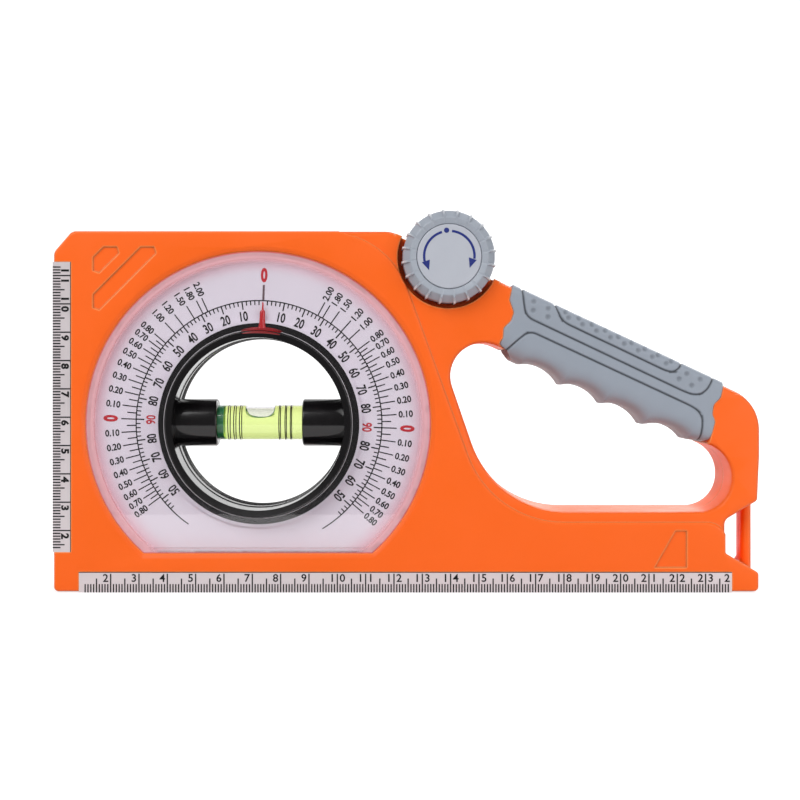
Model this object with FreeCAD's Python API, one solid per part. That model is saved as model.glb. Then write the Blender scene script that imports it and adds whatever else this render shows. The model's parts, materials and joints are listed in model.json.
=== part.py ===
"""Inclinometer: an adjustable level with a knob-turned vial carrier, a dial and a side handle.

X runs along the base to the handle, Z points up and the dial faces -Y. The origin is at the middle
of the base, half way through the depth over the knob. Depths are measured from the front face of the
raised field, backwards. All sizes are in millimetres.
"""
import FreeCAD, Part
import math
import os

# Whole tool
LENGTH = 250.0
BODY_DEPTH = 26.0
KNOB_STAND = 5.0            # how far the knob stands out in front of the raised field
STEP = 1.0                  # how far the handle lies below the raised field, front and back
WALL = 2.4
EDGE_BEVEL = 1.0
FIELD_BEVEL = 0.5
FIT = 0.15                  # gap round a piece that drops into a seat
RUN = 0.06                  # radial gap of a turning fit
SNUG = 0.02                 # gap of a glued or pressed fit

# Dial opening
WINDOW_RADIUS = 61.0
WINDOW_DROP = 45.7          # centre of the dial to the straight lower edge of the window
SILL = 13.8                 # base to the straight lower edge of the window
LEFT_MARGIN = 11.5
TOP_MARGIN = 7.1
WINDOW_INSET = 0.3          # window face below the raised field
WINDOW_THICKNESS = 1.6
WINDOW_LIP = 1.2            # how far the window's flange reaches under the shell
LIP_THICKNESS = 2.2         # shell in front of that flange
WINDOW_SKIRT = 1.6
BEVEL = 1.6                 # bevel round the opening, along the face
BEVEL_DEPTH = 0.8
DIAL_FACE = 5.0             # depth of the printed face
DIAL_THICKNESS = 1.5
DIAL_GAP = 0.3              # between the dial plate and the carrier's hub
EAR_REACH = 2.0             # dial ears beyond the dial's edge
EAR_RADIUS = 3.2
EAR_BOSS = 2.2
EAR_ANGLES = (-78.0, 24.0, 125.0)   # clockwise from the top

# Outline
CORNER_CUT = 6.4
CORNER_DROP = 7.4
CORNER_ROUND = 3.2
BASE_ROUND = 1.6
HANDLE_CORNER = 67.0        # height where the handle's top line meets the right end
HANDLE_WIDTH = 21.0
HANDLE_ROUND = 15.0
SHOULDER_X = 119.5          # right end of the top edge, from the left end
SHOULDER_ROUND = 10.0
EAR_OUTLINE = 16.0          # round outline behind the knob
HOLE_FLOOR = 28.4           # lower edge of the finger hole
HOLE_RIGHT = 9.8            # finger hole to the right end
HOLE_FOOT = 156.4           # foot of the hole's sloping left side, from the left end
HOLE_LEAN = 19.0            # lean of that side from upright, degrees
HOLE_TOP_ROUND = 11.7
HOLE_HEEL_ROUND = 36.0
HOLE_TOE_ROUND = 11.5
HOLE_CORNER_ROUND = 12.0
HOLE_END_SHARE = 0.6        # most of the hole's right side that one of its two rounds may take
NOTCH_LEFT = 12.3           # lanyard notch to the right end
NOTCH_TOP = 25.4
NOTCH_FOOT = 13.8
NOTCH_UPPER_END = 32.3
NOTCH_LOWER_END = 6.9
NOTCH_TOP_ROUND = 3.0
NOTCH_FOOT_ROUND = 1.0
TAPER = 0.7                 # how much the right end draws in at the foot
TAPER_START = 48.0
BAR_WIDTH = 3.4             # lanyard bar across the notch
BAR_DEPTH = 8.4
BAR_BEVEL = 1.0
BAR_ROOT_WIDTH = 6.6
BAR_ROOT_HEIGHT = 4.0

# Raised field
FIELD_SHOULDER_X = 120.3    # from the left end
FIELD_SHOULDER_DROP = 6.8   # below the top
FIELD_SHOULDER_ROUND = 30.0
FIELD_SHOULDER_SLOPE = 19.3
FIELD_RIM = 3.8             # band left low under the finger hole
FIELD_HEEL_GAP = 2.5        # between the hole's sloping side and the raised field
FIELD_PAST = 0.6            # corner of the field's lower line past the notch's side
FIELD_HEEL_ROUND = 36.0
FIELD_END_ROUND = 7.0

# Sunk marks in the raised field
MARK_DEPTH = 0.5
MARK_LEFT = 14.2
MARK_TOP = 5.5
STRIPE_STARTS = (3.7, 16.8)        # first edge of each slanted stripe, from the mark's corner
STRIPE_WIDTH = 6.3
STRIPE_TIP = 1.5            # how much of a stripe's far corners is cut off
ARROW_FOOT = 37.5           # sunk triangle at the foot, from the right end
ARROW_GAP = 1.6             # above the base rail
ARROW_WIDTH = 11.4
ARROW_TOP = 4.0
ARROW_HEIGHT = 13.0

# Ruler rails
RAIL_PROUD = 0.4
RAIL_WEB = 1.2
RAIL_FLANGE = 1.0
BASE_RAIL_START = 9.3       # from the left end
BASE_RAIL_END = 10.2        # from the right end
BASE_RAIL_WIDTH = 7.2
SIDE_RAIL_START = 14.3      # from the base
SIDE_RAIL_END = 10.9        # below the top
SIDE_RAIL_WIDTH = 6.4

# Carrier and vial
BORE_RADIUS = 30.5
COLLAR_WALL = 2.5
COLLAR_GAP = 0.2            # collar to the window's hole
COLLAR_PROUD = 0.8
TUBE_WALL = 3.5
HUB_STEP = 2.2              # hub beyond the rear tube
STOP_STEP = 1.8             # stop beyond the hub
HUB_LEAD = 1.4              # hub's front ahead of the dial's face
STOP_PLAY = 0.5             # stop to the back of the dial plate
TUBE_INSET = 0.4            # rear tube's end inside the back
SOCKET_RADIUS = 8.5
SOCKET_REACH = 15.25        # carrier centre to a socket's mouth
SOCKET_ROOT = 1.0           # how far a socket runs into the ring's wall
SOCKET_CHAMFER = 0.6
VIAL_RADIUS = 6.2
VIAL_BORE = 5.2
VIAL_REACH = 8.0            # how far the vial goes into a socket
VIAL_END = 1.5
PLUG_SHOW = 2.2             # how much of the plug shows beyond the left socket
BUBBLE_LENGTH = 10.2
BUBBLE_DEPTH = 3.0
POINTER_THICKNESS = 0.8
POINTER_CLEAR = 0.7         # needle to the window's skirt, where it passes the straight edge
NEEDLE_LENGTH = 3.0
NEEDLE_TIP = 0.3
POINTER_STEM_WIDTH = 2.2
POINTER_STEM_ROUND = 0.9
POINTER_FOOT_ANGLE = 12.0
POINTER_FOOT_WIDTH = 1.7
KEYS = 3                    # ribs on the tube that drive the gear
KEY_HEIGHT = 1.4
KEY_WIDTH = 4.0
BUSH_THICKNESS = 3.0
BUSH_FLANGE = 1.2
BUSH_FLANGE_REACH = 2.4
THRUST_GAP = 0.2            # gear to the bush behind it

# Gears
CARRIER_TEETH = 64
IDLER_TEETH = 33
KNOB_TEETH = 13
PRESSURE_ANGLE = 20.0
ADDENDUM = 0.8              # in modules, as are the next two
DEDENDUM = 1.1
LEAST_UNDERCUT = 0.2        # a root closer than this below the base circle stays on that circle
FLANK_RELIEF = 0.06
GEAR_RIM = 4.625            # carrier gear's metal between the tube and the tooth roots
GEAR_LEAD = 2.0             # gears' front ahead of the middle of the depth
GEAR_WIDTH = 4.5
TRAIN_ANGLE = 41.2          # line of the gear centres, degrees above +X
PIN_RADIUS = 2.0
PIN_HEAD_RADIUS = 3.5
PIN_HEAD = 0.7
PIN_GAP = 0.1
PIN_INSET = 4.0             # pin's rear end inside the back
BOSS_WALL = 2.2
BOSS_GAP = 0.5              # boss to the gear in front of it

# Knob
KNOB_RADIUS = 16.25
KNOB_RIB = 0.45
KNOB_RIB_WIDTH = 0.9
KNOB_RIBS = 20
RIB_START = 79.0            # direction of one rib, degrees above +X
KNOB_CHAMFER = 2.4
KNOB_FLOOR_GAP = 0.7
KNOB_WALL = 2.0
CAP_RADIUS = 11.3
CAP_THICKNESS = 1.5
CAP_RELIEF = 0.3
POCKET_RADIUS = 18.0
POCKET_CLEAR = 0.6          # pocket's floor to the gears behind it
SHAFT_RADIUS = 3.0
SHAFT_INSET = 6.0           # shaft's rear end inside the back
WASHER_THICKNESS = 0.5
SCREW_THREAD = 1.4
SCREW_HEAD = 2.8
SCREW_HEAD_HEIGHT = 1.6
SCREW_BITE = 6.0

# Grips: wavy ends as (distance along the handle's top line, distance below that line)
GRIP_LEFT_END = ((24.4, -3.0), (26.0, 4.5), (29.3, 7.8), (29.6, 11.0), (28.3, 14.3), (29.6, 17.6), (29.0, 20.2),
                 (32.5, 21.1), (35.6, 23.2))    # along from the knob's centre
GRIP_RIGHT_END = ((10.2, 20.6), (10.9, 16.7), (11.6, 12.7), (13.6, 10.9), (14.6, 7.5), (13.4, 4.3),
                  (14.9, -3.0))                 # along from the handle's right corner
GRIP_END_ROUND = 1.2
GRIP_PROUD = 0.5
GRIP_WALL = 2.4
GRIP_BELOW = 3.0            # fullness of the grip below the handle's underside
GRIP_ROUND = 5.0
GRIP_HEEL = 5.6             # from the last scallop to the grip's lower right corner
GRIP_HEEL_RISE = 1.0
GRIP_HEEL_ROUND = 2.0
CORE_PAST = 4.0             # handle's core past the grip's ends
SCALLOPS = 4
SCALLOPS_START = 39.6       # from the knob's centre
SCALLOPS_END = 17.0         # from the handle's right corner
SCALLOP_DEPTH = 2.6

# Screw posts of the housing
POST_CORNER = (10.8, 8.6)   # from the left end, below the top
POST_HEEL = (13.0, 18.8)    # from the left end, from the base
POST_FOOT = (130.5, 16.0)   # from the left end, from the base
POST_TOE = (24.0, 17.5)     # from the right end, from the base
POST_NECK = (13.8, 19.4)    # right of the knob's centre, below it
POST_RADIUS = 3.4
POST_BORE = 1.3
POST_CLEAR = 1.7
POST_HEAD = 3.0
POST_HEAD_DEPTH = 2.0
POST_HEAD_SINK = 2.8
DIAL_SCREW = 0.8
DIAL_SCREW_HEAD = 1.6
DIAL_SCREW_BITE = 2.0

# Worked out
OVER = 1.0                  # how far a cutting shape runs past what it cuts
OVERLAP = 0.5               # how far joined shapes run into each other
FRONT = (KNOB_STAND - BODY_DEPTH) / 2
MID = BODY_DEPTH / 2
LEFT = -LENGTH / 2
RIGHT = LENGTH / 2
DIAL_X = LEFT + LEFT_MARGIN + WINDOW_RADIUS
DIAL_Z = SILL + WINDOW_DROP
TOP = DIAL_Z + WINDOW_RADIUS + TOP_MARGIN
FLANGE_RADIUS = WINDOW_RADIUS + WINDOW_LIP
PANE_BACK = WINDOW_INSET + WINDOW_THICKNESS
DIAL_BACK = DIAL_FACE + DIAL_THICKNESS
COLLAR_RADIUS = BORE_RADIUS + COLLAR_WALL
WINDOW_HOLE_RADIUS = COLLAR_RADIUS + COLLAR_GAP
TUBE_RADIUS = BORE_RADIUS + TUBE_WALL
HUB_RADIUS = TUBE_RADIUS + HUB_STEP
HUB_BORE = HUB_RADIUS + DIAL_GAP
HUB_FRONT = DIAL_FACE - HUB_LEAD
STOP_RADIUS = HUB_RADIUS + STOP_STEP
STOP_FRONT = DIAL_BACK + STOP_PLAY
GEAR_FRONT = MID - GEAR_LEAD
GEAR_BACK = GEAR_FRONT + GEAR_WIDTH
BUSH_FRONT = GEAR_BACK + THRUST_GAP
BUSH_OUTER = TUBE_RADIUS + RUN + BUSH_THICKNESS
MODULE = (TUBE_RADIUS + GEAR_RIM) / (CARRIER_TEETH / 2 - DEDENDUM)
POCKET_DEPTH = GEAR_FRONT - POCKET_CLEAR - WALL
KNOB_FRONT = -KNOB_STAND
KNOB_BACK = POCKET_DEPTH - KNOB_FLOOR_GAP
SHAFT_FRONT = KNOB_FRONT + CAP_RELIEF + CAP_THICKNESS + SCREW_HEAD_HEIGHT + KNOB_WALL
SHAFT_BACK = BODY_DEPTH - SHAFT_INSET
PIN_BACK = BODY_DEPTH - PIN_INSET


def pitch_radius(teeth):
    return MODULE * teeth / 2


def polar(x, z, radius, angle):
    """Point at an angle in degrees above +X, seen from the front."""
    turn = math.radians(angle)
    return x + radius * math.cos(turn), z + radius * math.sin(turn)


IDLER_X, IDLER_Z = polar(DIAL_X, DIAL_Z, pitch_radius(CARRIER_TEETH + IDLER_TEETH), TRAIN_ANGLE)
KNOB_X, KNOB_Z = polar(IDLER_X, IDLER_Z, pitch_radius(IDLER_TEETH + KNOB_TEETH), TRAIN_ANGLE)
HANDLE = math.atan2(KNOB_Z - HANDLE_CORNER, RIGHT - KNOB_X)    # slope of the handle, which aims at the knob
HANDLE_LENGTH = math.hypot(KNOB_Z - HANDLE_CORNER, RIGHT - KNOB_X)
SCALLOP_FIRST = HANDLE_LENGTH - SCALLOPS_START
SCALLOP_PITCH = (SCALLOP_FIRST - SCALLOPS_END) / SCALLOPS


def spot(x, z, depth=0.0):
    return FreeCAD.Vector(x, FRONT + depth, z)


# ---------------------------------------------------------------- shapes

def outline(corners):
    """Flat face from (x, z, rounding) corners, with tangent arcs where the rounding isn't zero."""
    count = len(corners)
    starts, ends, middles = [], [], []
    for index, (x, z, radius) in enumerate(corners):
        here = FreeCAD.Vector(x, 0, z)
        before = FreeCAD.Vector(corners[index - 1][0], 0, corners[index - 1][1]) - here
        after = FreeCAD.Vector(corners[(index + 1) % count][0], 0, corners[(index + 1) % count][1]) - here
        before.normalize()
        after.normalize()
        half = before.getAngle(after) / 2
        reach = radius / math.tan(half)
        starts.append(here + before * reach)
        ends.append(here + after * reach)
        inward = before + after
        inward.normalize()
        middles.append(here + inward * (radius / math.sin(half) - radius))
    edges = []
    for index in range(count):
        if corners[index][2] > 0:
            edges.append(Part.Arc(starts[index], middles[index], ends[index]).toShape())
        following = starts[(index + 1) % count]
        if (following - ends[index]).Length > 1e-6:
            edges.append(Part.LineSegment(ends[index], following).toShape())
    return Part.Face(Part.Wire(edges))


def prism(face, front, back):
    """Extrude a flat face between two depths."""
    moved = face.translated(FreeCAD.Vector(0, FRONT + front, 0))
    return moved.extrude(FreeCAD.Vector(0, back - front, 0))


def round_bar(x, z, radius, front, back):
    """Cylinder along the depth."""
    return Part.makeCylinder(radius, back - front, spot(x, z, front), FreeCAD.Vector(0, 1, 0))


def tube(x, z, outer, inner, front, back):
    return round_bar(x, z, outer, front, back).cut(round_bar(x, z, inner, front - OVER, back + OVER))


def disc(x, z, radius):
    circle = Part.Circle(FreeCAD.Vector(x, 0, z), FreeCAD.Vector(0, 1, 0), radius)
    return Part.Face(Part.Wire(circle.toShape()))


def dial_face(grow):
    """D-shaped face of the window, larger by grow all round."""
    radius = WINDOW_RADIUS + grow
    drop = WINDOW_DROP + grow
    half = math.sqrt(radius ** 2 - drop ** 2)
    left = FreeCAD.Vector(DIAL_X - half, 0, DIAL_Z - drop)
    right = FreeCAD.Vector(DIAL_X + half, 0, DIAL_Z - drop)
    top = FreeCAD.Vector(DIAL_X, 0, DIAL_Z + radius)
    return Part.Face(Part.Wire([Part.Arc(left, top, right).toShape(), Part.LineSegment(right, left).toShape()]))


def join(first, *others):
    return first.fuse(list(others)).removeSplitter()


def about_dial(angle, radius):
    """Point round the dial, clockwise from the top."""
    return polar(DIAL_X, DIAL_Z, radius, 90 - angle)


def on_handle(along, below):
    """Point measured from the handle's upper right corner, along its top line and below it."""
    x = RIGHT - along * math.cos(HANDLE) - below * math.sin(HANDLE)
    z = HANDLE_CORNER + along * math.sin(HANDLE) - below * math.cos(HANDLE)
    return x, z


def handle_line(x, below):
    """Height at x of a line parallel to the handle's top, so far below it."""
    return HANDLE_CORNER + (RIGHT - x) * math.tan(HANDLE) - below / math.cos(HANDLE)


# ---------------------------------------------------------------- housing outlines

def outer_face():
    """Outline of the plastic housing, without the finger hole."""
    edge = LEFT + RAIL_PROUD
    foot = RIGHT - TAPER
    notch = RIGHT - NOTCH_LEFT
    shoulder = LEFT + SHOULDER_X
    plate = outline([
        (edge, RAIL_PROUD, BASE_ROUND),
        (edge, TOP - CORNER_DROP, CORNER_ROUND),
        (edge + CORNER_CUT, TOP, CORNER_ROUND),
        (shoulder, TOP, SHOULDER_ROUND),
        (KNOB_X - EAR_OUTLINE / 2, KNOB_Z + EAR_OUTLINE / 4, 0),
        (KNOB_X + EAR_OUTLINE / 2, handle_line(KNOB_X + EAR_OUTLINE / 2, 0), 0),
        (RIGHT, HANDLE_CORNER, HANDLE_ROUND),
        (RIGHT, TAPER_START, 0),
        (foot, NOTCH_UPPER_END, BASE_ROUND),
        (notch, NOTCH_TOP, NOTCH_TOP_ROUND),
        (notch, NOTCH_FOOT, NOTCH_FOOT_ROUND),
        (foot, NOTCH_LOWER_END, BASE_ROUND),
        (foot, RAIL_PROUD, BASE_ROUND),
    ])
    return join(plate, disc(KNOB_X, KNOB_Z, EAR_OUTLINE))


def hole_side(height):
    """X of the finger hole's sloping left side at a height."""
    return LEFT + HOLE_FOOT - (height - HOLE_FLOOR) * math.tan(math.radians(HOLE_LEAN))


def finger_hole():
    """Outline of the finger hole."""
    right = RIGHT - HOLE_RIGHT
    ceiling = handle_line(right, HANDLE_WIDTH)
    lean = math.tan(math.radians(HOLE_LEAN))
    reach = handle_line(hole_side(HOLE_FLOOR), HANDLE_WIDTH) - HOLE_FLOOR
    rise = reach / (1 - math.tan(HANDLE) * lean)
    most = (ceiling - HOLE_FLOOR) * HOLE_END_SHARE
    return outline([
        (hole_side(HOLE_FLOOR + rise), HOLE_FLOOR + rise, HOLE_TOP_ROUND),
        (hole_side(HOLE_FLOOR), HOLE_FLOOR, HOLE_HEEL_ROUND),
        (right, HOLE_FLOOR, min(HOLE_TOE_ROUND, most)),
        (right, ceiling, min(HOLE_CORNER_ROUND, most)),
    ])


def field_face():
    """The raised field, before it is trimmed to the housing."""
    slope = math.tan(math.radians(FIELD_SHOULDER_SLOPE))
    level = TOP - FIELD_SHOULDER_DROP
    far = LENGTH
    low = HOLE_FLOOR - FIELD_RIM
    right = RIGHT - NOTCH_LEFT + FIELD_PAST
    return outline([
        (LEFT - far, -far, 0),
        (LEFT - far, level + (FIELD_SHOULDER_X + far) * slope, 0),
        (LEFT + FIELD_SHOULDER_X, level, FIELD_SHOULDER_ROUND),
        (hole_side(low) - FIELD_HEEL_GAP, low, FIELD_HEEL_ROUND),
        (right, low, FIELD_END_ROUND),
        (right, NOTCH_FOOT, 0),
        (RIGHT + far, NOTCH_FOOT, 0),
        (RIGHT + far, -far, 0),
    ])


def mark_stripes():
    """Two slanted stripes in the field's upper left corner, as flat faces."""
    left = LEFT + MARK_LEFT
    top = TOP - MARK_TOP
    tip = STRIPE_TIP
    faces = []
    for start in STRIPE_STARTS:
        stop = start + STRIPE_WIDTH - tip
        faces.append(outline([
            (left, top - start, 0),
            (left + start, top, 0),
            (left + stop, top, 0),
            (left + stop + tip / 2, top - tip * 3 / 2, 0),
            (left + tip * 3 / 2, top - stop - tip / 2, 0),
            (left, top - stop, 0),
        ]))
    return faces


def mark_arrow():
    """Sunk triangle with a cut tip at the foot of the field, as a flat face."""
    left = RIGHT - ARROW_FOOT
    right = left + ARROW_WIDTH
    base = BASE_RAIL_WIDTH + ARROW_GAP
    return outline([
        (left, base, 0),
        (right, base, 0),
        (right, base + ARROW_HEIGHT, 0),
        (right - ARROW_TOP, base + ARROW_HEIGHT, 0),
    ])


# ---------------------------------------------------------------- housing

def bevelled_prism(face, front, back, bevel):
    """Extruded face with its front edge bevelled."""
    block = prism(face, front, back)
    level = FRONT + front
    rim = [e for e in block.Edges if abs(e.BoundBox.YMin - level) < 1e-6 and abs(e.BoundBox.YMax - level) < 1e-6]
    return block.makeChamfer(bevel, rim)


def housing_half(full, field):
    """Solid front half of the housing: the low plate and the raised field on it."""
    plate = bevelled_prism(full, STEP, MID, EDGE_BEVEL)
    raised = bevelled_prism(field, 0, STEP + EDGE_BEVEL + OVER, FIELD_BEVEL)
    return join(plate, raised)


def lanyard_bar():
    """Half of the recessed bar across the notch, up to the split."""
    right = RIGHT - TAPER
    left = right - BAR_WIDTH
    front = MID - BAR_DEPTH / 2
    low = NOTCH_LOWER_END - OVER
    bar = outline([(left, low, 0), (right, low, 0), (right, NOTCH_UPPER_END + OVER, 0),
                   (left, NOTCH_UPPER_END + OVER, 0)])
    root_top = NOTCH_LOWER_END + BAR_ROOT_HEIGHT
    root = outline([(right - BAR_ROOT_WIDTH, low, 0), (right, low, 0), (right, root_top, 0), (left, root_top, 0)])
    return join(bevelled_prism(bar, front, MID, BAR_BEVEL), prism(root, front + BAR_BEVEL, MID))


def grip_left_end():
    return [(HANDLE_LENGTH - from_knob, below) for from_knob, below in GRIP_LEFT_END]


def grip_face(grow):
    """Outline of the grip over the handle, with wavy ends and the space for finger scallops below."""
    lower = HANDLE_WIDTH + GRIP_BELOW + grow
    heel = SCALLOPS_END - GRIP_HEEL
    corners = [(*on_handle(along, below), GRIP_END_ROUND) for along, below in grip_left_end()]
    corners.append((*on_handle(SCALLOP_FIRST + grow, lower), 0))
    corners.append((*on_handle(heel, lower - GRIP_HEEL_RISE), GRIP_HEEL_ROUND))
    corners += [(*on_handle(along, below), GRIP_END_ROUND) for along, below in GRIP_RIGHT_END]
    return outline(corners)


def finger_scallops():
    """Round cutters that leave a ridge between each two fingers."""
    radius = SCALLOP_PITCH ** 2 / (8 * SCALLOP_DEPTH) + SCALLOP_DEPTH / 2
    lower = HANDLE_WIDTH + GRIP_BELOW
    cutters = []
    for index in range(SCALLOPS):
        along = SCALLOP_FIRST - (index + 0.5) * SCALLOP_PITCH
        x, z = on_handle(along, lower + radius - SCALLOP_DEPTH)
        cutters.append(round_bar(x, z, radius, -OVER, MID + OVER))
    return cutters


def bar_along_handle(front, above, below, radius, start, stop):
    """Rounded bar between two places on the handle, from a front depth to the split."""
    x, z = on_handle(start, 0)
    here = spot(x, z)
    down = FreeCAD.Vector(-math.sin(HANDLE), 0, -math.cos(HANDLE))
    along = FreeCAD.Vector(-math.cos(HANDLE), 0, math.sin(HANDLE))
    back = FreeCAD.Vector(0, 1, 0)
    short = radius * (1 - math.sqrt(0.5))
    section = [(-above, MID), (-above, front + radius), (-above + short, front + short), (-above + radius, front),
               (below - radius, front), (below - short, front + short), (below, front + radius), (below, MID)]
    points = [here + down * low + back * deep for low, deep in section]
    edges = [
        Part.LineSegment(points[0], points[1]).toShape(),
        Part.Arc(points[1], points[2], points[3]).toShape(),
        Part.LineSegment(points[3], points[4]).toShape(),
        Part.Arc(points[4], points[5], points[6]).toShape(),
        Part.LineSegment(points[6], points[7]).toShape(),
        Part.LineSegment(points[7], points[0]).toShape(),
    ]
    return Part.Face(Part.Wire(edges)).extrude(along * (stop - start))


def inside_grip(wall, radius):
    """Half of the handle's bar so far inside the grip's outside, running on past its ends."""
    start = GRIP_RIGHT_END[0][0] - CORE_PAST
    stop = grip_left_end()[0][0] + CORE_PAST
    return bar_along_handle(STEP + wall, -wall, HANDLE_WIDTH - wall, radius, start, stop)


def grip_half():
    """One grip: rounded bar trimmed to the wavy outline, scalloped, and hollowed for the handle."""
    below = HANDLE_WIDTH + GRIP_BELOW
    bar = bar_along_handle(STEP - GRIP_PROUD, GRIP_PROUD, below, GRIP_ROUND, 0.0, HANDLE_LENGTH)
    shape = bar.common(prism(grip_face(0), -OVER, MID))
    shape = shape.cut(finger_scallops())
    return shape.cut(inside_grip(GRIP_WALL, GRIP_WALL)).removeSplitter()


def post_places():
    return [
        (LEFT + POST_CORNER[0], TOP - POST_CORNER[1]),
        (LEFT + POST_HEEL[0], POST_HEEL[1]),
        (LEFT + POST_FOOT[0], POST_FOOT[1]),
        (RIGHT - POST_TOE[0], POST_TOE[1]),
        (KNOB_X + POST_NECK[0], KNOB_Z - POST_NECK[1]),
    ]


def ear_places():
    return [about_dial(angle, FLANGE_RADIUS + EAR_REACH) for angle in EAR_ANGLES]


def base_channel(grow):
    """Channel along X over the base, its outside larger by grow: a web below and a flange on each face."""
    start = LEFT + BASE_RAIL_START
    length = LENGTH - BASE_RAIL_START - BASE_RAIL_END
    outer = Part.makeBox(length, BODY_DEPTH + 2 * grow, BASE_RAIL_WIDTH + grow, spot(start, -grow, -grow))
    room = Part.makeBox(length + 2 * OVER, BODY_DEPTH - 2 * RAIL_FLANGE, BASE_RAIL_WIDTH,
                        spot(start - OVER, RAIL_WEB, RAIL_FLANGE))
    return outer.cut(room)


def side_channel(grow):
    """Channel along Z over the left edge, its outside larger by grow."""
    length = TOP - SIDE_RAIL_START - SIDE_RAIL_END
    outer = Part.makeBox(SIDE_RAIL_WIDTH + grow, BODY_DEPTH + 2 * grow, length,
                         spot(LEFT - grow, SIDE_RAIL_START, -grow))
    room = Part.makeBox(SIDE_RAIL_WIDTH, BODY_DEPTH - 2 * RAIL_FLANGE, length + 2 * OVER,
                        spot(LEFT + RAIL_WEB, SIDE_RAIL_START - OVER, RAIL_FLANGE))
    return outer.cut(room)


def cavity(full):
    """Hollow of the front half, kept clear of the grip's seat but run on through the handle's core."""
    inner = full.makeOffset2D(-WALL).Faces[0]
    room = prism(inner, STEP + WALL, MID)
    zone = grip_face(0).makeOffset2D(WALL).Faces[0]
    return join(room.cut(prism(zone, 0, MID)), inside_grip(GRIP_WALL + WALL, WALL / 2))


def hollow_half(full, field):
    """Half housing with its cavity, grip seat, rail seats and lanyard bar."""
    shape = housing_half(full, field)
    shape = shape.cut(prism(grip_face(0), -OVER, MID))
    shape = join(shape, inside_grip(GRIP_WALL, GRIP_WALL), lanyard_bar())
    return shape.cut([cavity(full), base_channel(OVER), side_channel(OVER)])


def bevel_cutter():
    """Slanted cut round the window opening."""
    outer = dial_face(FIT + BEVEL).OuterWire.translated(FreeCAD.Vector(0, FRONT, 0))
    inner = dial_face(FIT).OuterWire.translated(FreeCAD.Vector(0, FRONT + BEVEL_DEPTH, 0))
    return Part.makeLoft([outer, inner], True, True)


def front_shell(full, field):
    """Front half: window opening, knob pocket, sunk marks and screw posts."""
    inside = STEP + WALL
    cup = round_bar(KNOB_X, KNOB_Z, POCKET_RADIUS + WALL, STEP, POCKET_DEPTH + WALL).common(prism(full, STEP, MID))
    posts = [round_bar(x, z, POST_RADIUS, inside - OVERLAP, MID) for x, z in post_places()]
    posts += [round_bar(x, z, EAR_BOSS, PANE_BACK, DIAL_FACE) for x, z in ear_places()]
    cuts = [round_bar(KNOB_X, KNOB_Z, POCKET_RADIUS, -OVER, POCKET_DEPTH)]
    cuts.append(round_bar(KNOB_X, KNOB_Z, SHAFT_RADIUS + RUN, 0, MID))
    cuts.append(prism(dial_face(FIT), -OVER, MID))
    cuts.append(prism(dial_face(WINDOW_LIP + FIT), LIP_THICKNESS, MID))
    cuts.append(bevel_cutter())
    cuts += [prism(face, -OVER, MARK_DEPTH) for face in mark_stripes() + [mark_arrow()]]
    cuts += [round_bar(x, z, POST_BORE, inside, MID + OVER) for x, z in post_places()]
    cuts += [round_bar(x, z, DIAL_SCREW, DIAL_FACE - DIAL_SCREW_BITE, MID) for x, z in ear_places()]
    return join(hollow_half(full, field), cup, *posts).cut(cuts)


def flip(shape):
    """Mirror a front half into the rear half."""
    return shape.mirror(spot(0, 0, MID), FreeCAD.Vector(0, 1, 0))


def rear_shell(full, field):
    """Rear half: carrier bush seat, idler and shaft bosses, and counterbored screw posts."""
    back = BODY_DEPTH
    wall = BODY_DEPTH - STEP - WALL + OVERLAP
    boss_front = GEAR_BACK + BOSS_GAP
    adds = [round_bar(DIAL_X, DIAL_Z, BUSH_OUTER + WALL, BUSH_FRONT + WALL, back - WALL)]
    adds.append(round_bar(IDLER_X, IDLER_Z, PIN_RADIUS + BOSS_WALL, boss_front, wall))
    adds.append(round_bar(KNOB_X, KNOB_Z, SHAFT_RADIUS + BOSS_WALL, boss_front, wall))
    adds += [round_bar(x, z, POST_RADIUS, MID, wall) for x, z in post_places()]
    cuts = [round_bar(DIAL_X, DIAL_Z, BUSH_OUTER + SNUG, MID, back + OVER)]
    cuts.append(round_bar(DIAL_X, DIAL_Z, BUSH_OUTER + BUSH_FLANGE_REACH + RUN, back - BUSH_FLANGE, back + OVER))
    cuts.append(round_bar(IDLER_X, IDLER_Z, PIN_RADIUS, MID, PIN_BACK))
    cuts.append(round_bar(KNOB_X, KNOB_Z, SHAFT_RADIUS + RUN, MID, SHAFT_BACK + RUN))
    for x, z in post_places():
        cuts.append(round_bar(x, z, POST_CLEAR, MID - OVER, back + OVER))
        cuts.append(round_bar(x, z, POST_HEAD + FIT, back - POST_HEAD_SINK - POST_HEAD_DEPTH, back + OVER))
    return join(flip(hollow_half(full, field)), *adds).cut(cuts)


def screw(x, z, head_radius, head_height, shank_radius, seat, tip):
    """Screw from behind: its head stands behind the seat and its shank runs forward to the tip."""
    head = round_bar(x, z, head_radius, seat, seat + head_height)
    return join(head, round_bar(x, z, shank_radius, tip, seat))


def housing_screws():
    """Pan-head screws from the back into the front posts."""
    seat = BODY_DEPTH - POST_HEAD_SINK - POST_HEAD_DEPTH
    tip = STEP + 2 * WALL
    places = post_places()
    return Part.makeCompound([screw(x, z, POST_HEAD, POST_HEAD_DEPTH, POST_BORE, seat, tip) for x, z in places])


# ---------------------------------------------------------------- dial

def window():
    """Clear cover: flat pane, flange under the shell's lip, and a skirt that stands on the dial plate."""
    lip = LIP_THICKNESS + FIT
    pane = prism(dial_face(0), WINDOW_INSET, lip)
    flange = prism(dial_face(WINDOW_LIP), lip, DIAL_FACE)
    room = prism(dial_face(-WINDOW_SKIRT), PANE_BACK, DIAL_FACE + OVER)
    hole = round_bar(DIAL_X, DIAL_Z, WINDOW_HOLE_RADIUS, -OVER, MID)
    return join(pane, flange).cut([room, hole])


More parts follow.
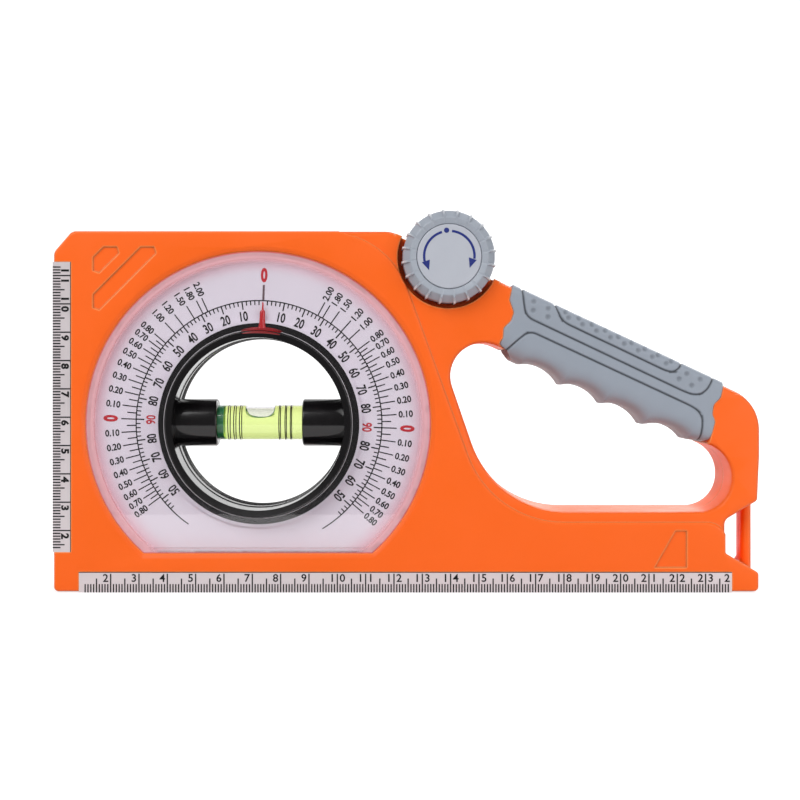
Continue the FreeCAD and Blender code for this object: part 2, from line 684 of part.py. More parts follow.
def dial_plate():
    """White printed plate with screw ears."""
    plate = prism(dial_face(WINDOW_LIP), DIAL_FACE, DIAL_BACK)
    ears = [round_bar(x, z, EAR_RADIUS, DIAL_FACE, DIAL_BACK) for x, z in ear_places()]
    bores = [round_bar(x, z, DIAL_SCREW + FIT, 0, MID) for x, z in ear_places()]
    return join(plate, *ears).cut(bores + [round_bar(DIAL_X, DIAL_Z, HUB_BORE, 0, MID)])


def dial_screws():
    """Small screws through the dial's ears into the front shell's bosses."""
    tip = DIAL_FACE - DIAL_SCREW_BITE
    screws = []
    for x, z in ear_places():
        screws.append(screw(x, z, DIAL_SCREW_HEAD, DIAL_SCREW_HEAD / 2, DIAL_SCREW, DIAL_BACK, tip))
    return Part.makeCompound(screws)


# ---------------------------------------------------------------- carrier

def bar_along_x(start, length, radius):
    """Cylinder along the vial's axis, from a place left or right of the carrier's centre."""
    return Part.makeCylinder(radius, length, spot(DIAL_X + start, DIAL_Z, MID), FreeCAD.Vector(1, 0, 0))


def drive_keys(grow):
    """Keys between the carrier's tube and its gear, larger by grow."""
    keys = []
    for index in range(KEYS):
        reach = TUBE_RADIUS + KEY_HEIGHT + grow
        key = Part.makeBox(KEY_WIDTH + 2 * grow, GEAR_WIDTH, reach - BORE_RADIUS - COLLAR_WALL,
                           spot(DIAL_X - KEY_WIDTH / 2 - grow, DIAL_Z + BORE_RADIUS + COLLAR_WALL, GEAR_FRONT))
        key.rotate(spot(DIAL_X, DIAL_Z), FreeCAD.Vector(0, 1, 0), 360.0 * index / KEYS)
        keys.append(key)
    return keys


def socket(side):
    """Round block that holds one end of the vial, its mouth chamfered."""
    base = spot(DIAL_X + side * SOCKET_REACH, DIAL_Z, MID)
    length = BORE_RADIUS + SOCKET_ROOT - SOCKET_REACH
    body = Part.makeCylinder(SOCKET_RADIUS, length, base, FreeCAD.Vector(side, 0, 0))
    mouth = [e for e in body.Edges if abs(e.BoundBox.XMin - base.x) < 1e-6 and abs(e.BoundBox.XMax - base.x) < 1e-6]
    return body.makeChamfer(SOCKET_CHAMFER, mouth)


def vial_carrier():
    """Turning ring: collar through the window, hub, stop, rear tube with its keys, and the vial's sockets."""
    tube_end = BODY_DEPTH - TUBE_INSET
    steps = [
        round_bar(DIAL_X, DIAL_Z, COLLAR_RADIUS, -COLLAR_PROUD, HUB_FRONT),
        round_bar(DIAL_X, DIAL_Z, HUB_RADIUS, HUB_FRONT, STOP_FRONT),
        round_bar(DIAL_X, DIAL_Z, STOP_RADIUS, STOP_FRONT, GEAR_FRONT),
        round_bar(DIAL_X, DIAL_Z, TUBE_RADIUS, GEAR_FRONT, tube_end),
    ]
    ring = join(*steps, *drive_keys(0)).cut(round_bar(DIAL_X, DIAL_Z, BORE_RADIUS, -BODY_DEPTH, 2 * BODY_DEPTH))
    seat = VIAL_RADIUS + SNUG
    left = bar_along_x(-SOCKET_REACH - VIAL_REACH, VIAL_REACH + OVER, seat)
    right = bar_along_x(SOCKET_REACH - OVER, STOP_RADIUS, seat)
    return join(ring, socket(-1), socket(1)).cut([left, right])


def vial_tube():
    """Clear tube, closed at the right end."""
    length = 2 * (SOCKET_REACH + VIAL_REACH)
    start = -length / 2
    body = bar_along_x(start, length, VIAL_RADIUS)
    return body.cut(bar_along_x(start - OVER, length - VIAL_END + OVER, VIAL_BORE))


def bubble():
    """Round cutter across the bore whose underside is the bubble's."""
    radius = (BUBBLE_LENGTH ** 2 / 4 + BUBBLE_DEPTH ** 2) / (2 * BUBBLE_DEPTH)
    return round_bar(DIAL_X, DIAL_Z + VIAL_BORE - BUBBLE_DEPTH + radius, radius, 0, BODY_DEPTH)


def vial_liquid():
    """Liquid that fills the bore round the bubble."""
    start = PLUG_SHOW - SOCKET_REACH + SNUG
    stop = SOCKET_REACH + VIAL_REACH - VIAL_END - SNUG
    return bar_along_x(start, stop - start, VIAL_BORE - SNUG).cut(bubble())


def vial_plug():
    """Stopper in the tube's open left end."""
    return bar_along_x(-SOCKET_REACH - VIAL_REACH, VIAL_REACH + PLUG_SHOW, VIAL_BORE - SNUG)


def pointer_foot(inner):
    """Curved foot of the pointer, a flat face against the carrier's collar."""
    outer = inner + POINTER_FOOT_WIDTH
    low = [about_dial(turn, inner) for turn in (-POINTER_FOOT_ANGLE, 0, POINTER_FOOT_ANGLE)]
    high = [about_dial(turn, outer) for turn in (-POINTER_FOOT_ANGLE, 0, POINTER_FOOT_ANGLE)]
    low = [FreeCAD.Vector(x, 0, z) for x, z in low]
    high = [FreeCAD.Vector(x, 0, z) for x, z in high]
    return Part.Face(Part.Wire([
        Part.Arc(low[0], low[1], low[2]).toShape(),
        Part.LineSegment(low[2], high[2]).toShape(),
        Part.Arc(high[2], high[1], high[0]).toShape(),
        Part.LineSegment(high[0], low[0]).toShape(),
    ]))


def pointer():
    """Red pointer: curved foot on the hub, round-nosed stem and a needle that stays inside the window's skirt."""
    front = HUB_FRONT - POINTER_THICKNESS
    inner = COLLAR_RADIUS + SNUG
    tip = DIAL_Z + WINDOW_DROP - WINDOW_SKIRT - POINTER_CLEAR
    nose = tip - NEEDLE_LENGTH
    root = DIAL_Z + inner + POINTER_FOOT_WIDTH / 2
    half = POINTER_STEM_WIDTH / 2
    stem = outline([
        (DIAL_X - half, root, 0),
        (DIAL_X - half, nose, POINTER_STEM_ROUND),
        (DIAL_X + half, nose, POINTER_STEM_ROUND),
        (DIAL_X + half, root, 0),
    ])
    needle = outline([
        (DIAL_X - half / 2, nose - OVER, 0),
        (DIAL_X - NEEDLE_TIP / 2, tip, 0),
        (DIAL_X + NEEDLE_TIP / 2, tip, 0),
        (DIAL_X + half / 2, nose - OVER, 0),
    ])
    return join(*[prism(face, front, HUB_FRONT) for face in (pointer_foot(inner), stem, needle)])


def rear_bearing_ring():
    """Flanged bush for the carrier, pressed into the rear shell."""
    body = round_bar(DIAL_X, DIAL_Z, BUSH_OUTER, BUSH_FRONT, BODY_DEPTH)
    flange = round_bar(DIAL_X, DIAL_Z, BUSH_OUTER + BUSH_FLANGE_REACH, BODY_DEPTH - BUSH_FLANGE, BODY_DEPTH)
    return join(body, flange).cut(round_bar(DIAL_X, DIAL_Z, TUBE_RADIUS + RUN, 0, BODY_DEPTH + OVER))


# ---------------------------------------------------------------- gears

def involute(angle):
    return math.tan(angle) - angle


def tooth_half_angle(radius, pitch, base):
    """Half the angle a tooth spans at a radius, in radians."""
    pressure = math.radians(PRESSURE_ANGLE)
    half = math.pi / 2 * MODULE / 2 - FLANK_RELIEF
    return half / pitch + involute(pressure) - involute(math.acos(min(1.0, base / radius)))


def gear_face(teeth, x, z, phase):
    """Toothed outline; each flank is two chords of its involute. Phase is the direction of one tooth."""
    pitch = pitch_radius(teeth)
    base = pitch * math.cos(math.radians(PRESSURE_ANGLE))
    root = pitch - DEDENDUM * MODULE
    flank = [(radius, tooth_half_angle(radius, pitch, base))
             for radius in (max(base, root), pitch, pitch + ADDENDUM * MODULE)]
    if base - root > LEAST_UNDERCUT * MODULE:
        flank.insert(0, (root, flank[0][1]))
    points = []
    for index in range(teeth):
        middle = phase + 2 * math.pi * index / teeth
        points += [(radius, middle - half) for radius, half in flank]
        points += [(radius, middle + half) for radius, half in reversed(flank)]
    corners = [FreeCAD.Vector(x + radius * math.cos(turn), 0, z + radius * math.sin(turn)) for radius, turn in points]
    return Part.Face(Part.makePolygon(corners + corners[:1]))


def meshed_phase(phase, teeth, other_teeth):
    """Phase of the next gear along the train, so that its gap meets the first one's tooth."""
    line = math.radians(TRAIN_ANGLE)
    part_turn = (line - phase) * teeth / (2 * math.pi)
    return line + math.pi - (0.5 - part_turn) * 2 * math.pi / other_teeth


def carrier_gear():
    """Ring gear keyed on the carrier's tube."""
    blank = prism(gear_face(CARRIER_TEETH, DIAL_X, DIAL_Z, 0.0), GEAR_FRONT, GEAR_BACK)
    return blank.cut([round_bar(DIAL_X, DIAL_Z, TUBE_RADIUS + SNUG, 0, BODY_DEPTH)] + drive_keys(SNUG))


def idler_gear():
    """Gear between carrier and knob, free on its pin."""
    phase = meshed_phase(0.0, CARRIER_TEETH, IDLER_TEETH)
    blank = prism(gear_face(IDLER_TEETH, IDLER_X, IDLER_Z, phase), GEAR_FRONT, GEAR_BACK)
    return blank.cut(round_bar(IDLER_X, IDLER_Z, PIN_RADIUS + RUN, 0, BODY_DEPTH))


def idler_pin():
    """Headed steel pin in the rear shell's boss."""
    seat = GEAR_FRONT - PIN_GAP
    head = round_bar(IDLER_X, IDLER_Z, PIN_HEAD_RADIUS, seat - PIN_HEAD, seat)
    return join(head, round_bar(IDLER_X, IDLER_Z, PIN_RADIUS, seat, PIN_BACK))


def knob_pinion():
    """Small gear on the knob's shaft."""
    idler_phase = meshed_phase(0.0, CARRIER_TEETH, IDLER_TEETH)
    phase = meshed_phase(idler_phase, IDLER_TEETH, KNOB_TEETH)
    blank = prism(gear_face(KNOB_TEETH, KNOB_X, KNOB_Z, phase), GEAR_FRONT, GEAR_BACK)
    return blank.cut(round_bar(KNOB_X, KNOB_Z, SHAFT_RADIUS, 0, BODY_DEPTH))


# ---------------------------------------------------------------- knob

def ribbed_face():
    """Round outline of the knob with small square ribs."""
    half = math.degrees(math.asin(KNOB_RIB_WIDTH / 2 / KNOB_RADIUS))
    pitch = 360.0 / KNOB_RIBS
    edges = []
    for index in range(KNOB_RIBS):
        angle = RIB_START + pitch * index
        turns = [(KNOB_RADIUS, angle - half), (KNOB_RADIUS + KNOB_RIB, angle - half),
                 (KNOB_RADIUS + KNOB_RIB, angle + half), (KNOB_RADIUS, angle + half),
                 (KNOB_RADIUS, angle + pitch / 2), (KNOB_RADIUS, angle + pitch - half)]
        places = [polar(KNOB_X, KNOB_Z, radius, turn) for radius, turn in turns]
        points = [FreeCAD.Vector(x, 0, z) for x, z in places]
        edges += [Part.LineSegment(points[step], points[step + 1]).toShape() for step in range(3)]
        edges.append(Part.Arc(points[3], points[4], points[5]).toShape())
    return Part.Face(Part.Wire(edges))


def knob():
    """Ribbed knob with a bevelled rim, a seat for the cap and a bore for the shaft."""
    height = KNOB_BACK - KNOB_FRONT
    rim = KNOB_RADIUS + KNOB_RIB - KNOB_CHAMFER
    crown = Part.makeCone(rim, rim + height, height, spot(KNOB_X, KNOB_Z, KNOB_FRONT), FreeCAD.Vector(0, 1, 0))
    body = prism(ribbed_face(), KNOB_FRONT, KNOB_BACK).common(crown)
    seat = SHAFT_FRONT - KNOB_WALL
    cuts = [
        round_bar(KNOB_X, KNOB_Z, CAP_RADIUS + FIT, KNOB_FRONT - OVER, KNOB_FRONT + CAP_RELIEF + CAP_THICKNESS),
        round_bar(KNOB_X, KNOB_Z, SHAFT_RADIUS, SHAFT_FRONT, KNOB_BACK + OVER),
        round_bar(KNOB_X, KNOB_Z, SCREW_THREAD, KNOB_FRONT, KNOB_BACK),
        round_bar(KNOB_X, KNOB_Z, SCREW_HEAD + FIT, KNOB_FRONT, seat),
    ]
    return body.cut(cuts)


def knob_cap():
    """Disc that closes the knob over its screw."""
    front = KNOB_FRONT + CAP_RELIEF
    cap = round_bar(KNOB_X, KNOB_Z, CAP_RADIUS, front, front + CAP_THICKNESS)
    rim = [e for e in cap.Edges if abs(e.BoundBox.YMax - FRONT - front) < 1e-6]
    return cap.makeChamfer(CAP_RELIEF, rim)


def knob_screw():
    """Screw through the knob's web into the shaft, its head forward."""
    seat = SHAFT_FRONT - KNOB_WALL
    head = round_bar(KNOB_X, KNOB_Z, SCREW_HEAD, seat - SCREW_HEAD_HEIGHT, seat)
    return join(head, round_bar(KNOB_X, KNOB_Z, SCREW_THREAD, seat, SHAFT_FRONT + SCREW_BITE))


def knob_shaft():
    """Steel shaft, drilled for the knob's screw."""
    body = round_bar(KNOB_X, KNOB_Z, SHAFT_RADIUS, SHAFT_FRONT, SHAFT_BACK)
    return body.cut(round_bar(KNOB_X, KNOB_Z, SCREW_THREAD, SHAFT_FRONT - OVER, SHAFT_FRONT + SCREW_BITE))


def friction_washer():
    """Washer under the knob that keeps its setting from drifting."""
    inner = SHAFT_RADIUS + FIT
    return tube(KNOB_X, KNOB_Z, inner + KNOB_WALL, inner, POCKET_DEPTH - WASHER_THICKNESS, POCKET_DEPTH)


# ---------------------------------------------------------------- output

def build():
    """Every sub-part under its node's name."""
    full = outer_face().cut(finger_hole()).Faces[0]
    field = full.common(field_face()).Faces[0]
    grip = grip_half()
    return {
        "front_shell": front_shell(full, field),
        "rear_shell": rear_shell(full, field),
        "dial_plate": dial_plate(),
        "window": window(),
        "dial_screws": dial_screws(),
        "housing_screws": housing_screws(),
        "left_rail": side_channel(0),
        "bottom_rail": base_channel(0),
        "front_grip": grip,
        "rear_grip": flip(grip),
        "rear_bearing_ring": rear_bearing_ring(),
        "idler_pin": idler_pin(),
        "friction_washer": friction_washer(),
        "vial_carrier": vial_carrier(),
        "carrier_gear": carrier_gear(),
        "pointer": pointer(),
        "vial_tube": vial_tube(),
        "vial_liquid": vial_liquid(),
        "vial_plug": vial_plug(),
        "idler_gear": idler_gear(),
        "knob": knob(),
        "knob_cap": knob_cap(),
        "knob_screw": knob_screw(),
        "knob_shaft": knob_shaft(),
        "knob_pinion": knob_pinion(),
    }


def main():
    os.makedirs("parts", exist_ok=True)
    for name, shape in build().items():
        shape.exportStep("parts/" + name + ".step")


main()
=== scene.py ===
"""Finishes, printed scales, knob, grip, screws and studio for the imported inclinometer."""
import json
import math

import bmesh
import bpy
import numpy as np
from bpy.props import FloatProperty, FloatVectorProperty, IntProperty, PointerProperty
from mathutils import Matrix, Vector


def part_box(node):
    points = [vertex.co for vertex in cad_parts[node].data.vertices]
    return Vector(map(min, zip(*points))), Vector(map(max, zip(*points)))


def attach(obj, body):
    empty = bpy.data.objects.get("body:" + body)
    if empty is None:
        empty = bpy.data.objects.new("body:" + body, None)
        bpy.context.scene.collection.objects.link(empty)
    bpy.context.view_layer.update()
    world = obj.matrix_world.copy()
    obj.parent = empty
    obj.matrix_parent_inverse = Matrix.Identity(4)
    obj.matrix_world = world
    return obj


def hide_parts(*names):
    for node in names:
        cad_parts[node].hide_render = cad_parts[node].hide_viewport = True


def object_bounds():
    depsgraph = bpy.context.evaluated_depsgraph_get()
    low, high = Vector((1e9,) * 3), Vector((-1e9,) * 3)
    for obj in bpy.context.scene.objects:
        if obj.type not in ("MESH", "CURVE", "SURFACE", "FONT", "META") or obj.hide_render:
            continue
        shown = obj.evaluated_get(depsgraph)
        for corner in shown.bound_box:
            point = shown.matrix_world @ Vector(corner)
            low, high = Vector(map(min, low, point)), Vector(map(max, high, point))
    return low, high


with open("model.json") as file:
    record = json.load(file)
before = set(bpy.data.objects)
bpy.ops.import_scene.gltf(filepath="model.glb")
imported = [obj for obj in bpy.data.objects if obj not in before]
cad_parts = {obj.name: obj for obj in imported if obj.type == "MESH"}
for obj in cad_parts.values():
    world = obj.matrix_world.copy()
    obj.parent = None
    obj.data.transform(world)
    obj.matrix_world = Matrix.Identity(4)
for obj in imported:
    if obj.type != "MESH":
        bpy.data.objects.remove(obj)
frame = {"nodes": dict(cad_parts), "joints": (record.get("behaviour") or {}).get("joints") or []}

bl_info = {
    "name": "Inclinometer dressing",
    "version": (1, 0, 0),
    "blender": (4, 5, 0),
    "location": "3D View > Sidebar > Inclinometer",
    "description": "Gives the inclinometer its finishes, scales, knob, grip and studio",
    "category": "Object",
}

MM = 0.001
CAD_BOX = [list(corner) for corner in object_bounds()]


# ---------------------------------------------------------------- places on the frame

def joint_place(name):
    """Across and up of a joint's axis, in millimetres."""
    place = next(joint["pos_m"] for joint in frame["joints"] if joint["name"] == name)
    return np.array([place[0], place[2]]) / MM


def front_of(node):
    """Depth of a node's foremost face, in millimetres."""
    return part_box(node)[0].y / MM


def vial_bore():
    """The liquid's left and right ends, a point on its axis and its radius, in millimetres."""
    low, high = (np.array(corner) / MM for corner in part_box("vial_liquid"))
    return low[0], high[0], (low + high) / 2, (high[2] - low[2]) / 2


DIAL = joint_place("carrier_spin")
WHEEL = joint_place("knob_spin")
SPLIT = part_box("front_shell")[1].y / MM
RIGHT = CAD_BOX[1][0] / MM
WINDOW = 61.0                  # radius of the window where the housing shows it
WINDOW_FLAT = 13.8             # height of its straight lower edge


def clock(turns):
    """Unit directions at angles clockwise from the top: across is the sine and up the cosine."""
    turns = np.radians(np.asarray(turns, float))
    return np.stack([np.sin(turns), np.cos(turns)], -1)


# ---------------------------------------------------------------- mesh building

def skin(rows, columns, ring_rows=False, ring_columns=True):
    """Four-sided faces over a grid, with corners (i, j), (i, j+1), (i+1, j+1) and (i+1, j), wrapping where a
    way is a ring."""
    i = np.arange(rows if ring_rows else rows - 1)[:, None]
    j = np.arange(columns if ring_columns else columns - 1)[None, :]
    after_i, after_j = (i + 1) % rows, (j + 1) % columns
    corners = [i * columns + j, i * columns + after_j, after_i * columns + after_j, after_i * columns + j]
    return np.stack(np.broadcast_arrays(*corners), -1).reshape(-1, 4)


def halves(quads):
    """Each four-sided face as two triangles."""
    return np.concatenate([quads[:, [0, 1, 2]], quads[:, [0, 2, 3]]])


def gather(parts):
    """One set of points and triangles from several, each numbered on from the one before."""
    starts = np.cumsum([0] + [len(points) for points, _ in parts[:-1]])
    points = np.concatenate([points for points, _ in parts])
    return points, np.concatenate([faces + start for (_, faces), start in zip(parts, starts)])


def outward(points, faces):
    """Turns every face round where the signed volume, a sixth of the summed triple products, is negative."""
    triangles = faces if faces.shape[1] == 3 else halves(faces)
    a, b, c = (points[triangles[:, corner]] for corner in range(3))
    volume = np.einsum("ij,ij->i", a, np.cross(b, c)).sum()
    return faces if volume > 0 else faces[:, ::-1]


def build_piece(name, shape, finish, body, replaced=(), sharp=35.0, marks=None):
    """Makes one closed piece at the origin from points in millimetres. Marks are named values at its points,
    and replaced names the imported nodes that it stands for."""
    points, faces = shape
    points = points.reshape(-1, 3) * MM
    mesh = bpy.data.meshes.new(name)
    mesh.from_pydata(points, [], outward(points, faces))
    for title, values in (marks or {}).items():
        layer = mesh.attributes.new(title, "FLOAT", "POINT")
        layer.data.foreach_set("value", np.ravel(values).astype(np.float32))
    work = bmesh.new()
    work.from_mesh(mesh)
    bmesh.ops.remove_doubles(work, verts=work.verts, dist=1e-8)
    work.to_mesh(mesh)
    work.free()
    mesh.shade_smooth()
    mesh.set_sharp_from_angle(angle=math.radians(sharp))
    mesh.materials.append(finish)
    piece = bpy.data.objects.new(name, mesh)
    bpy.context.scene.collection.objects.link(piece)
    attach(piece, body)
    if replaced:
        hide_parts(*replaced)
    return piece


def soft_corners(corners, cuts, steps=7):
    """Closed line with eased corners: each corner is the quadratic curve between the points a cut before it
    and a cut after it."""
    corners = np.asarray(corners, float)
    cuts = np.broadcast_to(np.asarray(cuts, float), len(corners))[:, None]
    before, after = np.roll(corners, 1, 0) - corners, np.roll(corners, -1, 0) - corners
    start = corners + before / np.linalg.norm(before, axis=1)[:, None] * cuts
    stop = corners + after / np.linalg.norm(after, axis=1)[:, None] * cuts
    t = np.linspace(0, 1, steps)[:, None, None]
    return ((1 - t) ** 2 * start + 2 * t * (1 - t) * corners + t ** 2 * stop).swapaxes(0, 1).reshape(-1, 2)


def eased_line(points, cut, steps=9):
    """Open line with eased corners: as a closed one, with both its ends left where they are."""
    cuts = [0.0] + [cut] * (len(points) - 2) + [0.0]
    return soft_corners(points, cuts, steps)[steps - 1:-(steps - 1)]


def evenly(line, count):
    """Points at equal lengths along a line."""
    line = np.asarray(line, float)
    run = np.concatenate([[0], np.cumsum(np.linalg.norm(np.diff(line, axis=0), axis=1))])
    places = np.linspace(0, run[-1], count)
    return np.stack([np.interp(places, run, line[:, axis]) for axis in range(line.shape[1])], -1)


def distance_to_line(places, line):
    """Least distance from each place to a line's runs: the place less its nearest point, which is
    the run's start plus its direction times the place's share along it, held between 0 and 1."""
    best = np.full(places.shape[:-1], np.inf)
    for start, stop in zip(line[:-1], line[1:]):
        run = stop - start
        share = np.clip(((places - start) @ run) / (run @ run), 0, 1)
        best = np.minimum(best, np.linalg.norm(places - start - share[..., None] * run, axis=-1))
    return best


def strokes(starts, stops, widths, front, back):
    """Thin boxes from starts to stops: each corner is an end, plus or minus half the width square to the
    stroke."""
    starts, stops = np.atleast_2d(starts).astype(float), np.atleast_2d(stops).astype(float)
    run = stops - starts
    run /= np.linalg.norm(run, axis=1)[:, None]
    side = np.stack([run[:, 1], -run[:, 0]], -1) * np.broadcast_to(widths, len(starts))[:, None] / 2
    flat = np.stack([starts - side, starts + side, stops + side, stops - side], 1)
    deep = np.array([front, back])
    points = np.empty((len(starts), 2, 4, 3))
    points[..., 0] = flat[:, None, :, 0]
    points[..., 1] = deep[None, :, None]
    points[..., 2] = flat[:, None, :, 1]
    box = np.array([[0, 1, 2, 3], [7, 6, 5, 4], [0, 4, 5, 1], [1, 5, 6, 2], [2, 6, 7, 3], [3, 7, 4, 0]])
    faces = (box[None] + 8 * np.arange(len(starts))[:, None, None]).reshape(-1, 4)
    return points.reshape(-1, 3), halves(faces)


def spokes(centre, turns, inner, outer, widths, front, back):
    """Strokes along radii: centre plus direction times the inner and outer radius."""
    ways = clock(turns)
    inner = np.broadcast_to(inner, len(ways))[:, None]
    outer = np.broadcast_to(outer, len(ways))[:, None]
    return strokes(centre + ways * inner, centre + ways * outer, widths, front, back)


def arc_band(centre, inner, outer, start, stop, front, back, count=180):
    """Part of a flat ring: a square section of two radii and two depths carried round the centre, with its
    ends closed."""
    ways = clock(np.linspace(start, stop, count))
    radii, deep = np.array([inner, outer, outer, inner]), np.array([front, front, back, back])
    points = np.empty((count, 4, 3))
    points[..., 0] = centre[0] + ways[:, None, 0] * radii
    points[..., 1] = deep
    points[..., 2] = centre[1] + ways[:, None, 1] * radii
    last = (count - 1) * 4
    ends = np.array([[3, 2, 1, 0], [last, last + 1, last + 2, last + 3]])
    return points.reshape(-1, 3), halves(np.concatenate([skin(count, 4), ends]))[:, ::-1]


def plate(corners, front, back):
    """Flat piece with a bulging outline: its corners at two depths, fans over both faces and a wall between
    them."""
    corners = np.asarray(corners, float)
    count = len(corners)
    points = np.empty((2, count, 3))
    points[..., [0, 2]] = corners
    points[..., 1] = np.array([front, back])[:, None]
    fan = np.stack([np.zeros(count - 2, int), np.arange(1, count - 1), np.arange(2, count)], -1)
    faces = np.concatenate([fan[:, ::-1], fan + count, halves(skin(2, count))])
    return points.reshape(-1, 3), outward(points.reshape(-1, 3), faces)


def figures(text, place, reading, height, front, back, squeeze=1.0, weight=0.0):
    """Solid figures centred on a place. Each point is the place, plus its across along the reading
    direction, plus its up square to that. Both are scaled to the height asked for, and across once more by
    the squeeze. The weight thickens the strokes."""
    curve = bpy.data.curves.new("figures", "FONT")
    curve.body = text
    curve.extrude = 0.5
    curve.offset = weight
    curve.resolution_u = 3
    holder = bpy.data.objects.new("figures", curve)
    mesh = holder.to_mesh()
    raw = np.empty(len(mesh.vertices) * 3)
    mesh.vertices.foreach_get("co", raw)
    raw = raw.reshape(-1, 3)
    mesh.calc_loop_triangles()
    faces = np.empty(len(mesh.loop_triangles) * 3, int)
    mesh.loop_triangles.foreach_get("vertices", faces)
    holder.to_mesh_clear()
    bpy.data.objects.remove(holder)
    bpy.data.curves.remove(curve)
    low, high = raw.min(0), raw.max(0)
    scale = height / (high[1] - low[1])
    across = (raw[:, 0] - (low[0] + high[0]) / 2) * scale * squeeze
    up = (raw[:, 1] - (low[1] + high[1]) / 2) * scale
    turn = math.radians(reading)
    points = np.stack([
        place[0] + across * math.cos(turn) - up * math.sin(turn),
        np.where(raw[:, 2] > 0, front, back),
        place[1] + across * math.sin(turn) + up * math.cos(turn),
    ], -1)
    return points, faces.reshape(-1, 3)


# ---------------------------------------------------------------- finishes

def from_hex(code):
    """Linear colour of an sRGB hex value: each channel c is c / 12.92 where it is dark, and otherwise
    ((c + 0.055) / 1.055) ** 2.4."""
    code = code.lstrip("#")
    channels = [int(code[at:at + 2], 16) / 255 for at in (0, 2, 4)]
    return tuple(c / 12.92 if c <= 0.04045 else ((c + 0.055) / 1.055) ** 2.4 for c in channels) + (1.0,)


def add(tree, kind, inputs=None, **settings):
    """Adds one node, sets its properties, and sets or links each input by name or number."""
    node = tree.nodes.new(kind)
    for name, value in settings.items():
        setattr(node, name, value)
    for name, value in (inputs or {}).items():
        socket = node.inputs[name]
        if isinstance(value, bpy.types.NodeSocket):
            tree.links.new(value, socket)
        else:
            socket.default_value = value
    return node


def start_finish(name):
    """New empty material, its node tree, and the place on the piece that its patterns follow."""
    material = bpy.data.materials.new(name)
    material.use_nodes = True
    tree = material.node_tree
    tree.nodes.clear()
    return material, tree, add(tree, "ShaderNodeTexCoord").outputs["Object"]


def features(size):
    """Noise scale, in features per metre, for a real size in millimetres."""
    return 1.0 / (size * MM)


def mottled(tree, place, first, second, size, detail=3.0):
    """Colour that drifts between two values over patches of a real size."""
    noise = add(tree, "ShaderNodeTexNoise", {"Vector": place, "Scale": features(size), "Detail": detail})
    return add(tree, "ShaderNodeMix", {"Factor": noise.outputs["Fac"], "A": first, "B": second},
               data_type="RGBA").outputs["Result"]


def uneven(tree, place, low, high, size):
    """Number that drifts between two values over patches of a real size."""
    noise = add(tree, "ShaderNodeTexNoise", {"Vector": place, "Scale": features(size), "Detail": 4.0})
    return add(tree, "ShaderNodeMapRange", {"Value": noise.outputs["Fac"], "From Min": 0.3, "From Max": 0.7,
                                            "To Min": low, "To Max": high}).outputs["Result"]


def grained(tree, place, size, height, strength=1.0):
    """Surface normal roughened by grain of a real size and height."""
    noise = add(tree, "ShaderNodeTexNoise", {"Vector": place, "Scale": features(size), "Detail": 2.0})
    return add(tree, "ShaderNodeBump", {"Height": noise.outputs["Fac"], "Distance": height * MM,
                                        "Strength": strength}).outputs["Normal"]


def close_finish(tree, inputs):
    """Shader with its inputs, linked to the output."""
    shader = add(tree, "ShaderNodeBsdfPrincipled", inputs)
    add(tree, "ShaderNodeOutputMaterial", {"Surface": shader.outputs[0]})
    return shader


def paler(colour, share):
    """Colour moved a share of the way to white."""
    return tuple(c + (1 - c) * share for c in colour[:3]) + (1.0,)


def darker(colour, share):
    """Colour moved a share of the way to black."""
    return tuple(c * (1 - share) for c in colour[:3]) + (1.0,)


